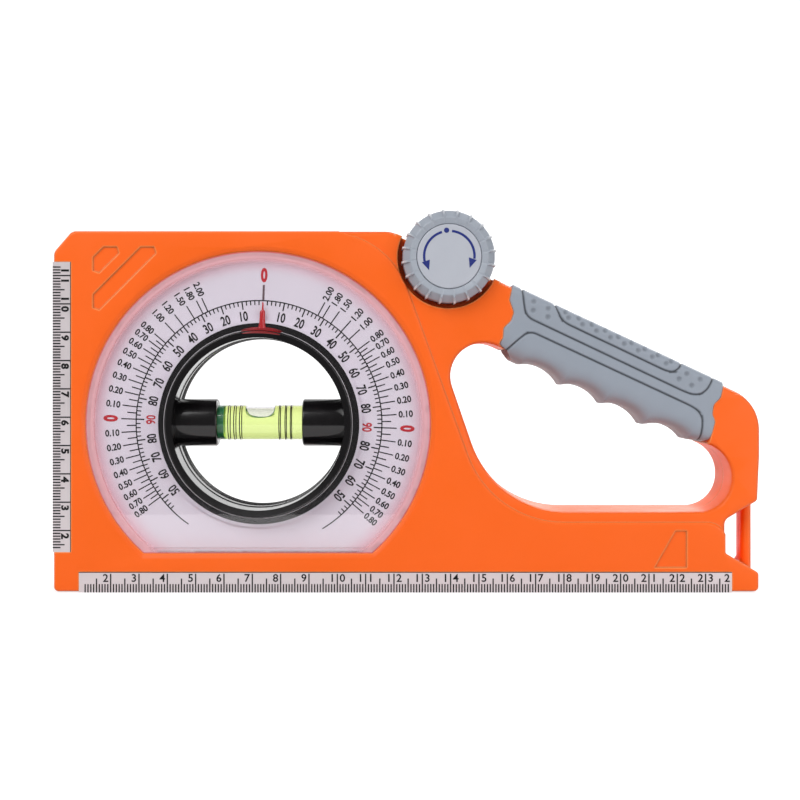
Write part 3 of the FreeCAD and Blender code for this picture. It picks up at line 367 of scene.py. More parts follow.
def moulded_abs(colours):
    """Injection-moulded ABS: a satin skin with faint orange peel and flow marks, round edges with a painted
    highlight, painted shade in its corners, and a dark line where the halves meet."""
    material, tree, place = start_finish("Moulded_Orange_ABS")
    parts = add(tree, "ShaderNodeSeparateXYZ", {"Vector": place})
    # The halves meet in a hairline a quarter of a millimetre wide.
    seam = add(tree, "ShaderNodeMath", {0: parts.outputs["Y"], 1: SPLIT * MM, 2: 0.12 * MM},
               operation="COMPARE")
    # Flow marks drift over about 25 mm.
    base = mottled(tree, place, darker(colours.shell, 0.05), paler(colours.shell, 0.01), 25.0)
    # Painted highlight: edges of about 1 mm radius are painted paler where the rounded normal leaves the flat
    # one.
    rounded = add(tree, "ShaderNodeBevel", {"Radius": 1.0 * MM}, samples=6).outputs["Normal"]
    flat = add(tree, "ShaderNodeNewGeometry").outputs["Normal"]
    agree = add(tree, "ShaderNodeVectorMath", {0: rounded, 1: flat}, operation="DOT_PRODUCT").outputs["Value"]
    edge = add(tree, "ShaderNodeMapRange", {"Value": agree, "From Min": 0.995,
                                            "From Max": 0.88}).outputs["Result"]
    painted_edge_highlight = add(tree, "ShaderNodeMix", {"Factor": edge, "A": base, "B": colours.shell_edge},
               data_type="RGBA").outputs["Result"]
    # Painted shade darkens corners narrower than about 1.5 mm.
    shut = add(tree, "ShaderNodeAmbientOcclusion", {"Distance": 1.5 * MM}, samples=8, only_local=True)
    crease_shade = add(tree, "ShaderNodeMapRange", {"Value": shut.outputs["AO"], "From Min": 0.9, "From Max": 0.55,
                                              "To Min": 0.0, "To Max": 0.5}).outputs["Result"]
    shaded_in_creases = add(tree, "ShaderNodeMix", {"Factor": crease_shade, "A": painted_edge_highlight, "B": darker(colours.shell, 0.55)},
                data_type="RGBA").outputs["Result"]
    skin_colour = add(tree, "ShaderNodeMix", {"Factor": seam.outputs[0], "A": shaded_in_creases,
                                              "B": darker(colours.shell, 0.4)}, data_type="RGBA")
    # Real spark grain is about 0.1 mm; 0.45 mm is the finest that shows.
    noise = add(tree, "ShaderNodeTexNoise", {"Vector": place, "Scale": features(0.45), "Detail": 2.0})
    grain = add(tree, "ShaderNodeBump", {"Height": noise.outputs["Fac"], "Distance": 0.012 * MM,
                                         "Strength": 0.6, "Normal": rounded}).outputs["Normal"]
    peel = add(tree, "ShaderNodeTexNoise", {"Vector": place, "Scale": features(4.0), "Detail": 1.0})
    peeled = add(tree, "ShaderNodeBump", {"Height": peel.outputs["Fac"], "Distance": 0.05 * MM,
                                          "Strength": 0.5, "Normal": grain}).outputs["Normal"]
    # The front face, all that lies ahead of 9 mm, falls away over the last 1.7 mm round the window.
    rim = add(tree, "ShaderNodeMapRange", {"Value": past_window(tree, place), "From Min": 0.1 * MM,
                                           "From Max": 1.8 * MM})
    front = add(tree, "ShaderNodeMath", {0: parts.outputs["Y"], 1: -9.0 * MM}, operation="LESS_THAN")
    fall = add(tree, "ShaderNodeMath", {0: rim.outputs["Result"], 1: front.outputs[0]}, operation="MULTIPLY")
    normal = add(tree, "ShaderNodeBump", {"Height": fall.outputs[0], "Distance": 0.3 * MM,
                                          "Normal": peeled}).outputs["Normal"]
    close_finish(tree, {"Base Color": skin_colour.outputs["Result"],
                        "Roughness": uneven(tree, place, 0.38, 0.48, 9.0), "IOR": 1.53,
                        "Specular IOR Level": 0.3, "Normal": normal})
    return material


def from_dial_axis(tree, place):
    """Distance of the place from the dial's axis, in metres."""
    parts = add(tree, "ShaderNodeSeparateXYZ", {"Vector": place})
    flat = add(tree, "ShaderNodeCombineXYZ", {"X": parts.outputs["X"], "Z": parts.outputs["Z"]})
    return add(tree, "ShaderNodeVectorMath", {0: flat.outputs[0], 1: (DIAL[0] * MM, 0.0, DIAL[1] * MM)},
               operation="DISTANCE").outputs["Value"]


def past_window(tree, place):
    """Distance outside the window's outline: the greater of the radius less the window's, and of its flat's
    height less the place's, in metres."""
    height = add(tree, "ShaderNodeSeparateXYZ", {"Vector": place}).outputs["Z"]
    beyond = add(tree, "ShaderNodeMath", {0: from_dial_axis(tree, place), 1: WINDOW * MM},
                 operation="SUBTRACT")
    below = add(tree, "ShaderNodeMath", {0: WINDOW_FLAT * MM, 1: height}, operation="SUBTRACT")
    return add(tree, "ShaderNodeMath", {0: beyond.outputs[0], 1: below.outputs[0]},
               operation="MAXIMUM").outputs[0]


def printed_styrene(colours):
    """Printed high-impact styrene: a pearly pale face, a rose band at its rim that is a painted reflection of
    the orange housing, and fine sheet texture.
    """
    material, tree, place = start_finish("Printed_Styrene")
    # Painted reflection of the orange housing: the rose comes in over the last 7.5 mm.
    rim = add(tree, "ShaderNodeMapRange", {"Value": from_dial_axis(tree, place), "From Min": 52.5 * MM,
                                           "From Max": 60.0 * MM}, interpolation_type="SMOOTHSTEP")
    base = mottled(tree, place, colours.dial, darker(colours.dial, 0.05), 12.0)
    face = add(tree, "ShaderNodeMix", {"Factor": rim.outputs["Result"], "A": base, "B": colours.dial_rim},
               data_type="RGBA").outputs["Result"]
    close_finish(tree, {"Base Color": face, "Roughness": uneven(tree, place, 0.42, 0.55, 6.0), "IOR": 1.59,
                        "Normal": grained(tree, place, 0.35, 0.004)})
    return material


def cast_acrylic(colours):
    """Clear cast acrylic: water-clear, sharp reflections, faint ripple, and a frosted edge with a painted
    reflection of the rose and orange round it. Shadow rays pass so that the dial stays lit."""
    material, tree, place = start_finish("Clear_Cast_Acrylic")
    shader = add(tree, "ShaderNodeBsdfPrincipled", {
        "Base Color": colours.clear, "Roughness": 0.02, "IOR": 1.49, "Transmission Weight": 1.0,
        "Normal": grained(tree, place, 9.0, 0.01, 0.3)})
    # The frosting and its painted rose reflection fade in over 3 mm, and a red line of the housing shows
    # where the edge is glued.
    edge = add(tree, "ShaderNodeMapRange", {"Value": from_dial_axis(tree, place), "From Min": 56.6 * MM,
                                            "From Max": 59.4 * MM, "To Min": 0.0, "To Max": 0.62},
               interpolation_type="SMOOTHSTEP")
    glued = add(tree, "ShaderNodeMapRange", {"Value": past_window(tree, place), "From Min": -0.6 * MM,
                                             "From Max": -0.1 * MM, "To Min": 0.0, "To Max": 0.9})
    cover = add(tree, "ShaderNodeMath", {0: edge.outputs["Result"], 1: glued.outputs["Result"]},
                operation="MAXIMUM")
    rose_reflection = mottled(tree, place, colours.window_rim, darker(colours.window_rim, 0.06), 8.0)
    tint = add(tree, "ShaderNodeMix", {"Factor": glued.outputs["Result"], "A": rose_reflection,
                                       "B": colours.window_glue}, data_type="RGBA").outputs["Result"]
    frosted = add(tree, "ShaderNodeBsdfDiffuse", {"Color": tint})
    pane = add(tree, "ShaderNodeMixShader", {0: cover.outputs[0], 1: shader.outputs[0],
                                             2: frosted.outputs[0]})
    path = add(tree, "ShaderNodeLightPath")
    unseen = add(tree, "ShaderNodeMath", {0: path.outputs["Is Shadow Ray"],
                                          1: path.outputs["Is Diffuse Ray"]}, operation="MAXIMUM")
    passing = add(tree, "ShaderNodeBsdfTransparent")
    both = add(tree, "ShaderNodeMixShader", {0: unseen.outputs[0], 1: pane.outputs[0], 2: passing.outputs[0]})
    add(tree, "ShaderNodeOutputMaterial", {"Surface": both.outputs[0]})
    return material


def sawn_acrylic(colours):
    """Sawn edge of the acrylic: a frosted line whose paleness is partly its own and partly a painted
    highlight, with painted shade in patches that break it."""
    material, tree, place = start_finish("Sawn_Acrylic_Edge_Highlight")
    # Painted shade breaks the pale line in patches about 6 mm long.
    base = mottled(tree, place, darker(colours.sawn, 0.55), colours.sawn, 6.0, 1.0)
    close_finish(tree, {"Base Color": base, "Roughness": 0.35, "IOR": 1.49,
                        "Normal": grained(tree, place, 0.5, 0.02)})
    return material


def tube_acrylic(colours, axis, bore, bubble):
    """Extruded acrylic tube: clear, with sharp reflections outside. The liquid wets the bore and bends light
    almost as the tube does, so light passes the bore unbent, except over the bubble. Given are a point on the
    axis, the bore's radius and half the bubble's length."""
    material, tree, place = start_finish("Clear_Extruded_Acrylic")
    parts = add(tree, "ShaderNodeSeparateXYZ", {"Vector": place})
    across = add(tree, "ShaderNodeCombineXYZ", {"Y": parts.outputs["Y"], "Z": parts.outputs["Z"]})
    radius = add(tree, "ShaderNodeVectorMath", {0: across.outputs[0], 1: (0.0, axis[1] * MM, axis[2] * MM)},
                 operation="DISTANCE").outputs["Value"]
    inside = add(tree, "ShaderNodeMath", {0: radius, 1: (bore + 0.5) * MM}, operation="LESS_THAN")
    beside = add(tree, "ShaderNodeMath", {0: parts.outputs["X"], 1: DIAL[0] * MM, 2: bubble * MM},
                 operation="COMPARE")
    # The bubble's underside lies 1.9 mm over the axis.
    above = add(tree, "ShaderNodeMath", {0: parts.outputs["Z"], 1: (axis[2] + 1.9) * MM},
                operation="GREATER_THAN")
    airy = add(tree, "ShaderNodeMath", {0: beside.outputs[0], 1: above.outputs[0]}, operation="MULTIPLY")
    wetted = add(tree, "ShaderNodeMath", {0: inside.outputs[0], 1: airy.outputs[0]}, operation="SUBTRACT")
    path = add(tree, "ShaderNodeLightPath")
    unseen = add(tree, "ShaderNodeMath", {0: path.outputs["Is Shadow Ray"], 1: wetted.outputs[0]},
                 operation="MAXIMUM")
    shader = add(tree, "ShaderNodeBsdfPrincipled", {
        "Base Color": colours.clear, "Roughness": 0.01, "IOR": 1.49, "Transmission Weight": 1.0,
        "Normal": grained(tree, place, 6.0, 0.004, 0.3)})
    passing = add(tree, "ShaderNodeBsdfTransparent")
    both = add(tree, "ShaderNodeMixShader", {0: unseen.outputs[0], 1: shader.outputs[0],
                                             2: passing.outputs[0]})
    add(tree, "ShaderNodeOutputMaterial", {"Surface": both.outputs[0]})
    return material


def polished(name, colour, roughness, size):
    """ABS or nitrile from a polished mould: deep colour, tight highlights, a trace of waviness."""
    material, tree, place = start_finish(name)
    close_finish(tree, {"Base Color": mottled(tree, place, colour, paler(colour, 0.003), 10.0),
                        "Roughness": uneven(tree, place, roughness * 0.8, roughness * 1.2, 5.0), "IOR": 1.53,
                        "Normal": grained(tree, place, size, 0.02, 0.35)})
    return material


def gloss_styrene(colours):
    """Polished-mould styrene: bright red with tight highlights, and painted shade that deepens it where its
    attribute says.
    """
    material, tree, place = start_finish("Gloss_Red_Styrene")
    # Painted shade: the attribute darkens the red.
    red_shade = add(tree, "ShaderNodeAttribute", attribute_name="red_shade").outputs["Fac"]
    base = mottled(tree, place, colours.pointer, darker(colours.pointer, 0.06), 3.0)
    toned = add(tree, "ShaderNodeMix", {"Factor": red_shade, "A": base, "B": darker(colours.pointer, 0.8)},
                data_type="RGBA").outputs["Result"]
    close_finish(tree, {"Base Color": toned, "Roughness": uneven(tree, place, 0.13, 0.2, 5.0), "IOR": 1.59,
                        "Normal": grained(tree, place, 2.0, 0.01, 0.3)})
    return material


def acetal(name, colour):
    """Machined or moulded acetal: waxy and soft-edged, a little light passes under its skin."""
    material, tree, place = start_finish(name)
    close_finish(tree, {"Base Color": mottled(tree, place, colour, darker(colour, 0.06), 6.0),
                        "Roughness": uneven(tree, place, 0.38, 0.5, 4.0), "IOR": 1.48,
                        "Subsurface Weight": 0.08, "Subsurface Scale": 0.4 * MM,
                        "Normal": grained(tree, place, 0.5, 0.006)})
    return material


def zinc_plated_steel(colours):
    """Zinc-plated steel: bright grey metal with a faint crystalline cloud and turned marks."""
    material, tree, place = start_finish("Zinc_Plated_Steel")
    close_finish(tree, {"Base Color": mottled(tree, place, colours.steel, darker(colours.steel, 0.18), 1.5),
                        "Metallic": 1.0, "Roughness": uneven(tree, place, 0.22, 0.36, 1.2),
                        "Normal": grained(tree, place, 0.3, 0.004)})
    return material


def satin_aluminium(name, colours, stretch):
    """Anodised aluminium strip: pale satin metal, its brush lines drawn out along its length."""
    material, tree, place = start_finish(name)
    # Brush lines are about 40 times as long as they are wide. The real ones are 0.15 mm apart, and 0.3 mm is
    # the finest that shows.
    drawn = add(tree, "ShaderNodeMapping", {"Vector": place, "Scale": stretch}).outputs["Vector"]
    lines = add(tree, "ShaderNodeTexNoise", {"Vector": drawn, "Scale": features(0.3), "Detail": 3.0})
    base = add(tree, "ShaderNodeMix", {"Factor": lines.outputs["Fac"], "A": darker(colours.rail, 0.05),
                                       "B": paler(colours.rail, 0.12)}, data_type="RGBA").outputs["Result"]
    normal = add(tree, "ShaderNodeBump", {"Height": lines.outputs["Fac"], "Distance": 0.01 * MM,
                                          "Strength": 0.4}).outputs["Normal"]
    close_finish(tree, {"Base Color": base, "Metallic": 0.35,
                        "Roughness": uneven(tree, place, 0.38, 0.5, 7.0), "Normal": normal})
    return material


def soft_tpr(colours):
    """Overmoulded thermoplastic rubber: matt grey with fine grain, a soft bloom, and painted shade in the
    grooves and dimples.
    """
    material, tree, place = start_finish("Soft_Grey_TPR")
    # Painted shade: the groove and dimple attribute darkens the grey.
    painted_groove_shade = add(tree, "ShaderNodeAttribute", attribute_name="painted_groove_shade").outputs["Fac"]
    base = mottled(tree, place, colours.grip, darker(colours.grip, 0.08), 7.0)
    toned = add(tree, "ShaderNodeMix", {"Factor": painted_groove_shade, "A": base, "B": darker(colours.grip, 0.85)},
                data_type="RGBA").outputs["Result"]
    # Spark grain of about 0.2 mm is drawn at 0.4 mm, so that it shows.
    close_finish(tree, {"Base Color": toned, "Roughness": uneven(tree, place, 0.52, 0.64, 3.0), "IOR": 1.5,
                        "Sheen Weight": 0.12, "Sheen Roughness": 0.5,
                        "Normal": grained(tree, place, 0.4, 0.02)})
    return material


def satin_abs(name, colour):
    """Self-coloured ABS with a spark-grained satin skin, painted paler as a highlight where its attribute
    says.
    """
    material, tree, place = start_finish(name)
    # Painted highlight: the attribute makes the grey paler.
    painted_highlight = add(tree, "ShaderNodeAttribute", attribute_name="painted_highlight").outputs["Fac"]
    base = mottled(tree, place, colour, paler(colour, 0.05), 6.0)
    toned = add(tree, "ShaderNodeMix", {"Factor": painted_highlight, "A": base, "B": paler(colour, 0.5)},
                data_type="RGBA").outputs["Result"]
    close_finish(tree, {"Base Color": toned,
                        "Roughness": uneven(tree, place, 0.36, 0.46, 3.0), "IOR": 1.53,
                        "Normal": grained(tree, place, 0.4, 0.008)})
    return material


def screen_ink(name, colour):
    """Screen-printed ink: flat colour whose cover varies a little from place to place."""
    material, tree, place = start_finish(name)
    close_finish(tree, {"Base Color": mottled(tree, place, colour, paler(colour, 0.008), 0.8),
                        "Roughness": uneven(tree, place, 0.45, 0.6, 1.5), "IOR": 1.5,
                        "Specular IOR Level": 0.25})
    return material


def wet_in_tube(name, colour, size):
    """What fills the vial: clear and tinted. The tube round it bends the light for both, so this adds only
    colour, and shadow rays pass."""
    material, tree, place = start_finish(name)
    base = mottled(tree, place, colour, paler(colour, 0.08), size)
    shader = add(tree, "ShaderNodeBsdfPrincipled", {"Base Color": base, "Roughness": 0.0, "IOR": 1.0,
                                                    "Transmission Weight": 1.0})
    path = add(tree, "ShaderNodeLightPath")
    passing = add(tree, "ShaderNodeBsdfTransparent", {"Color": paler(colour, 0.3)})
    both = add(tree, "ShaderNodeMixShader", {0: path.outputs["Is Shadow Ray"], 1: shader.outputs[0],
                                             2: passing.outputs[0]})
    add(tree, "ShaderNodeOutputMaterial", {"Surface": both.outputs[0]})
    return material


def studio_paper(colour, glow):
    """Seamless paper: matt white. What the camera, gloss and glass see of it is lifted to white, and its
    shadows stay."""
    material, tree, place = start_finish("Studio_Paper")
    base = mottled(tree, place, colour, paler(colour, 0.1), 60.0)
    paper = add(tree, "ShaderNodeBsdfDiffuse", {"Color": base})
    path = add(tree, "ShaderNodeLightPath")
    seen = add(tree, "ShaderNodeMath", {0: path.outputs["Is Camera Ray"], 1: path.outputs["Is Glossy Ray"]},
               operation="MAXIMUM")
    seen = add(tree, "ShaderNodeMath", {0: seen.outputs[0], 1: path.outputs["Is Transmission Ray"]},
               operation="MAXIMUM")
    lift = add(tree, "ShaderNodeMath", {0: seen.outputs[0], 1: glow}, operation="MULTIPLY")
    light = add(tree, "ShaderNodeEmission", {"Strength": lift.outputs[0]})
    both = add(tree, "ShaderNodeAddShader", {0: paper.outputs[0], 1: light.outputs[0]})
    add(tree, "ShaderNodeOutputMaterial", {"Surface": both.outputs[0]})
    return material


# ---------------------------------------------------------------- sizes and colours

def length(name, description, value):
    """A size in millimetres, as a property in Blender's metres."""
    return FloatProperty(name=name, description=description, default=value * MM, unit="LENGTH", precision=5)


def amount(name, description, value, unit="NONE"):
    """A plain number, or one with a unit of Blender's own."""
    return FloatProperty(name=name, description=description, default=value, unit=unit, precision=4)


def angle(name, description, value):
    """An angle in degrees, as a property in Blender's radians."""
    return FloatProperty(name=name, description=description, default=math.radians(value), unit="ROTATION",
                         subtype="ANGLE")


def colour(name, description, code):
    """An sRGB hex value, as a property in Blender's linear colour."""
    return FloatVectorProperty(name=name, description=description, default=from_hex(code), size=4, min=0.0,
                               max=1.0, subtype="COLOR")


class FinishColours(bpy.types.PropertyGroup):
    shell: colour("Housing", "Orange of the moulded halves", "#FF6600")
    # Painted highlight on the housing's rounded edges.
    shell_edge: colour("Housing edges", "Paler orange where edges are rubbed", "#FFA05C")
    dial: colour("Dial", "Pale face of the dial", "#E4DDE8")
    # Painted reflection of the orange housing on the dial's rim.
    dial_rim: colour("Dial rim", "Rose band at the dial's edge", "#E2B6C6")
    clear: colour("Clear parts", "Tint of the window and the tube", "#F7F5F8")
    black: colour("Ring", "Black of the turning ring", "#0E0C0E")
    bead: colour("Beads", "Polished black of the ring's fine beads", "#1C1A1C")
    # Painted reflection of the rose and orange round the window, on its frosted edge.
    window_rim: colour("Window edge", "Rose frosting at the window's edge", "#ECB4BA")
    window_glue: colour("Window joint", "Red line where the window meets the housing", "#E2503C")
    # Partly the frosted edge's own white, partly a painted highlight.
    sawn: colour("Sawn edge", "Frosted white of the window's sawn edge", "#DAD4DA")
    bush: colour("Bush", "Black of the bearing behind the ring", "#222124")
    gear: colour("Gears", "Natural acetal of the gears", "#E6E2D6")
    steel: colour("Steel", "Plated screws, pin and shaft", "#B4B6BA")
    rail: colour("Rulers", "Pale metal of the two rulers", "#D9CFD2")
    grip: colour("Grip", "Grey of the soft grip", "#969EAA")
    knob: colour("Knob", "Grey of the knob", "#9CA3AE")
    cap: colour("Cap", "Paler grey of the knob's cap", "#B4B8C2")
    liquid: colour("Liquid", "Yellow-green of the vial's liquid", "#E0F394")
    bubble: colour("Bubble", "Pale grey of the vial's bubble", "#EFF5DE")
    plug: colour("Plug", "Green of the vial's stopper", "#1E6E44")
    pointer: colour("Pointer", "Red of the pointer", "#C8262C")
    red: colour("Red ink", "Red figures", "#C02A35")
    ink: colour("Black ink", "Ticks and figures", "#120F12")
    brown: colour("Brown ink", "Tick under the dial's top zero", "#6A565C")
    ruler_ink: colour("Ruler ink", "Ticks and figures of the rulers", "#0C0A0C")
    ring_ink: colour("Vial ink", "Rings printed on the vial", "#0B0D08")
    # Painted shade: the dark green line where the bubble meets the bore.
    wet_edge: colour("Wet edge", "Dark green where the bubble meets the bore", "#3C7848")
    navy: colour("Navy ink", "Arrows on the cap", "#24307A")
    paper: colour("Paper", "Floor and backdrop", "#C8C8C8")


class DialSizes(bpy.types.PropertyGroup):
    circle: length("Circle", "Radius of the line that the ticks stand on", 43.8)
    line: length("Line", "Width of the printed lines", 0.40)
    circle_end: angle("Circle end", "Where the circle stops, either side of the top", 147.0)
    tick_end: angle("Tick end", "Where the degree ticks stop, either side of the top", 136.0)
    red_circle: length("Red circle", "Radius of the fine red line round the scales", 58.775)
    red_line: length("Red line", "Width of the red line", 0.15)
    red_end: angle("Red end", "Where the red line stops, either side of the top", 137.0)
    short_tick: length("Two degrees", "Length of a tick for two degrees", 1.6)
    long_tick: length("Ten degrees", "Length of a tick for ten degrees", 2.9)
    slope_tick: length("Slope tick", "Length of a tick with a slope figure", 5.3)
    slope_half: length("Slope half tick", "Length of a tick between two slope figures", 3.3)
    angle_radius: length("Angle figures", "Radius of the middles of the angle figures", 38.5)
    angle_height: length("Angle height", "Height of the angle figures", 3.6)
    lip: length("Lip", "Inner radius of the lip that covers the ring's edge", 35.75)
    lip_wall: length("Lip wall", "Outer radius of the lip, where it stands on the dial", 36.75)
    slope_radius: length("Slope figures", "Radius of the middles of the slope figures", 52.4)
    slope_height: length("Slope height", "Height of the slope figures", 2.45)
    zero_radius: length("Zeros", "Radius of the middles of the red zeros", 52.9)
    zero_height: length("Zero height", "Height of the red zeros", 5.3)
    zero_tick: length("Zero tick", "Length of the brown tick under the top zero", 5.6)
    zero_line: length("Zero line", "Width of the brown tick", 0.75)
    print_skew: angle("Skew", "How far the print and the pointer sit off the upright", 2.0)
    ink_depth: length("Ink", "How far ink stands off what it is printed on", 0.06)


class RulerSizes(bpy.types.PropertyGroup):
    base_zero: length("Base zero", "Where the base ruler's zero lies across the tool", -124.5)
    side_zero: length("Side zero", "Height of the side ruler's zero", 1.9)
    line: length("Line", "Width of the ruler's ticks", 0.45)
    figure_height: length("Figures", "Height of the ruler's figures", 2.8)


class VialSizes(bpy.types.PropertyGroup):
    ring_width: length("Ring width", "Width of a printed ring", 0.36)
    ring_height: length("Ring height", "How far a printed ring stands off the tube", 0.05)
    bubble_length: length("Bubble", "Length of the bubble", 10.5)
    bubble_depth: length("Bubble depth", "Depth of the bubble below the top of the bore", 3.29)
    # The dark line is painted shade where bubble, liquid and bore meet.
    wet_edge: length("Wet edge", "Radius of the dark line where bubble, liquid and bore meet", 0.13)


class PointerSizes(bpy.types.PropertyGroup):
    crown: length("Crown", "Height of the pointer's domed face", 0.85)
    foot_radius: length("Foot", "Radius of the middle of the pointer's foot", 33.75)
    foot_width: length("Foot width", "Width of the foot where it is widest", 1.25)
    foot_swing: angle("Foot swing", "How far the foot reaches either side of the stem", 13.0)
    stem_width: length("Stem", "Width of the pointer's stem", 2.1)
    bore: length("Bore", "Radius of the ring's bore", 30.5)
    hole: length("Hole", "Radius of the hole in the window", 33.2)


class WheelSizes(bpy.types.PropertyGroup):
    rim: length("Rim", "Radius of the knob between its ribs", 16.2)
    rib: length("Rib", "How far a rib stands off the rim", 0.5)
    rib_width: length("Rib width", "Width of a rib", 0.75)
    ribs: IntProperty(name="Ribs", description="How many ribs the knob has", default=20, min=3)
    first_rib: angle("First rib", "Where the first rib is, clockwise from the top", 11.0)
    bevel: length("Bevel", "Bevel round the front of the knob", 2.0)
    seat: length("Seat", "Radius of the seat for the cap", 11.45)
    dish: length("Dish", "How far the front sinks from the bevel to the cap", 0.6)
    shaft_bore: length("Shaft bore", "Radius of the bore that takes the shaft", 3.02)
    screw_hole: length("Screw hole", "Radius of the hole through the web", 1.42)
    head_bore: length("Head bore", "Radius of the bore that takes the screw's head", 2.95)
    web: length("Web", "Thickness of the web that the screw clamps", 2.0)
    arc: length("Arc", "Radius of the arrows' arc on the cap", 8.8)
    arc_width: length("Arc width", "Width of the arc", 0.85)
    arrow: length("Arrow", "Half the width of an arrow's head", 1.45)
    dot: length("Dot", "Radius of the dot on the cap", 0.92)
    dot_place: length("Dot place", "From the cap's middle to the dot", 9.1)
    dot_turn: angle("Dot turn", "Where the dot is, clockwise from the top", -6.0)


class GripSizes(bpy.types.PropertyGroup):
    proud: length("Proud", "How far the grip stands off the handle", 1.2)
    width: length("Width", "From the handle's top line to the grip's underside", 23.3)
    wall: length("Wall", "Thickness of the grip", 2.4)
    handle: length("Handle", "Width of the handle inside the grip", 21.0)
    top_corner: length("Top corner", "How far the section's corner along the top is eased", 3.2)
    corner: length("Corner", "How far the section's corner along the fingers is eased", 8.5)
    groove_width: length("Groove width", "Width of a groove", 1.3)
    groove_depth: length("Groove depth", "Depth of a groove", 0.6)
    dimple: length("Dimple", "Radius of a dimple", 1.1)
    dimple_depth: length("Dimple depth", "Depth of a dimple", 0.5)
    scallop_first: length("First scallop", "From the handle's right corner to the scallops' left end", 82.0)
    scallop_last: length("Last scallop", "From the handle's right corner to the scallops' right end", 17.0)
    scallop_depth: length("Scallop depth", "Depth of a finger scallop", 2.6)


class ScrewSizes(bpy.types.PropertyGroup):
    head: length("Head", "Radius of a screw's head", 3.0)
    shank: length("Shank", "Radius of a screw's shank", 1.3)
    height: length("Height", "Height of a screw's head", 2.0)
    slot: length("Slot", "Width of the cross recess's slots", 0.75)
    reach: length("Reach", "From the screw's middle to a slot's end", 1.75)
    recess: length("Recess", "Depth of the cross recess", 1.1)


class StudioSizes(bpy.types.PropertyGroup):
    camera: FloatVectorProperty(name="Camera", description="Where the camera stands", size=3, unit="LENGTH",
                                default=(-0.0144, -0.4704, 0.0800), precision=5)
    lens: amount("Lens", "Focal length on a 36 mm sensor", 58.63)
    shift: amount("Shift", "How far the lens is shifted right and down, as a share of the frame", 0.0426)
    key_power: amount("Key", "Power of the large light at the upper left", 15.0, "POWER")
    fill_power: amount("Fill", "Power of the light at the right", 7.0, "POWER")
    rim_power: amount("Back", "Power of the light behind, above and to the right", 11.0, "POWER")
    sky: amount("Sky", "Strength of the even light all round", 0.4)
    reflected: amount("Reflected sky", "Strength of the even light where gloss reflects it", 0.145)
    glow: amount("Glow", "How far the paper is lifted where it is looked at", 0.62)


# ---------------------------------------------------------------- operators

def dress(node, finish, sharp=50.0):
    """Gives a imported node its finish, and joins, splits and weights its corners so that small bevels look
    soft."""
    piece = frame["nodes"][node]
    piece.data.materials.clear()
    piece.data.materials.append(finish)
    piece.data.shade_smooth()
    weld = piece.modifiers.new("Join", "WELD")
    weld.merge_threshold = 2e-6
    split = piece.modifiers.new("Split", "EDGE_SPLIT")
    split.split_angle = math.radians(sharp)
    weigh = piece.modifiers.new("Weigh", "WEIGHTED_NORMAL")
    weigh.weight = 80


class INCLINOMETER_OT_finishes(bpy.types.Operator):
    """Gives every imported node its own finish"""
    bl_idname = "inclinometer.finishes"
    bl_label = "Finish the packed pieces"

    def execute(self, context):
        colours = context.scene.inclinometer_colours
        shell = moulded_abs(colours)
        clear = cast_acrylic(colours)
        steel = zinc_plated_steel(colours)
        gear = acetal("Natural_Acetal", colours.gear)
        black = polished("Gloss_Black_ABS", colours.black, 0.16, 3.0)
        _, _, axis, bore = vial_bore()
        bubble = context.scene.inclinometer_vial.bubble_length / MM / 2
        finishes = {
            "front_shell": shell, "rear_shell": shell, "dial_plate": printed_styrene(colours),
            "window": clear, "dial_screws": steel,
            "left_rail": satin_aluminium("Side_Aluminium", colours, (1.0, 1.0, 0.025)),
            "bottom_rail": satin_aluminium("Base_Aluminium", colours, (0.025, 1.0, 1.0)),
            "rear_bearing_ring": acetal("Black_Acetal", colours.bush), "idler_pin": steel,
            "friction_washer": steel, "vial_carrier": black, "carrier_gear": gear, "idler_gear": gear,
            "knob_pinion": gear, "vial_tube": tube_acrylic(colours, axis, bore, bubble),
            "vial_plug": polished("Green_Nitrile", colours.plug, 0.4, 1.0),
            "knob_cap": satin_abs("Satin_Pale_ABS", colours.cap), "knob_screw": steel, "knob_shaft": steel,
        }
        for node, finish in finishes.items():
            dress(node, finish)
        return {"FINISHED"}


UPPER_SLOPES = np.array([2.0, 1.8, 1.5, 1.2, 1.0, 0.8, 0.7, 0.6, 0.5, 0.4, 0.3, 0.2, 0.1])
LOWER_SLOPES = np.arange(0.1, 0.85, 0.1)
PLAIN_SLOPES = np.arange(0.05, 0.8, 0.1)       # those whose ticks have no figure
# Degrees that the steepest figures stand off their ticks, so that they don't touch each other.
NUDGES = {2.0: -0.4, 1.8: 1.2, 1.5: 0.8, 1.2: 0.3}
INK_ROOT = 0.01                                # how far ink is let into what carries it
# How far figures are narrowed or widened, and how much their strokes are thickened.
ANGLE_FIGURES = {"squeeze": 0.70, "weight": 0.025}
SLOPE_FIGURES = {"squeeze": 0.92, "weight": 0.028}
ZERO_FIGURES = {"squeeze": 0.68, "weight": 0.05}
BASE_FIGURES = {"squeeze": 1.05, "weight": 0.015}
SIDE_FIGURES = {"squeeze": 1.1, "weight": 0.045}


def slope_turns(upper, lower):
    """Angles clockwise from the top, of slopes above the level line and then of those below it. A slope is
    the cotangent of its angle, so the angle is the arctangent of one over it, or 180 degrees less that."""
    return np.concatenate([np.degrees(np.arctan2(1.0, upper)), 180 - np.degrees(np.arctan2(1.0, lower))])


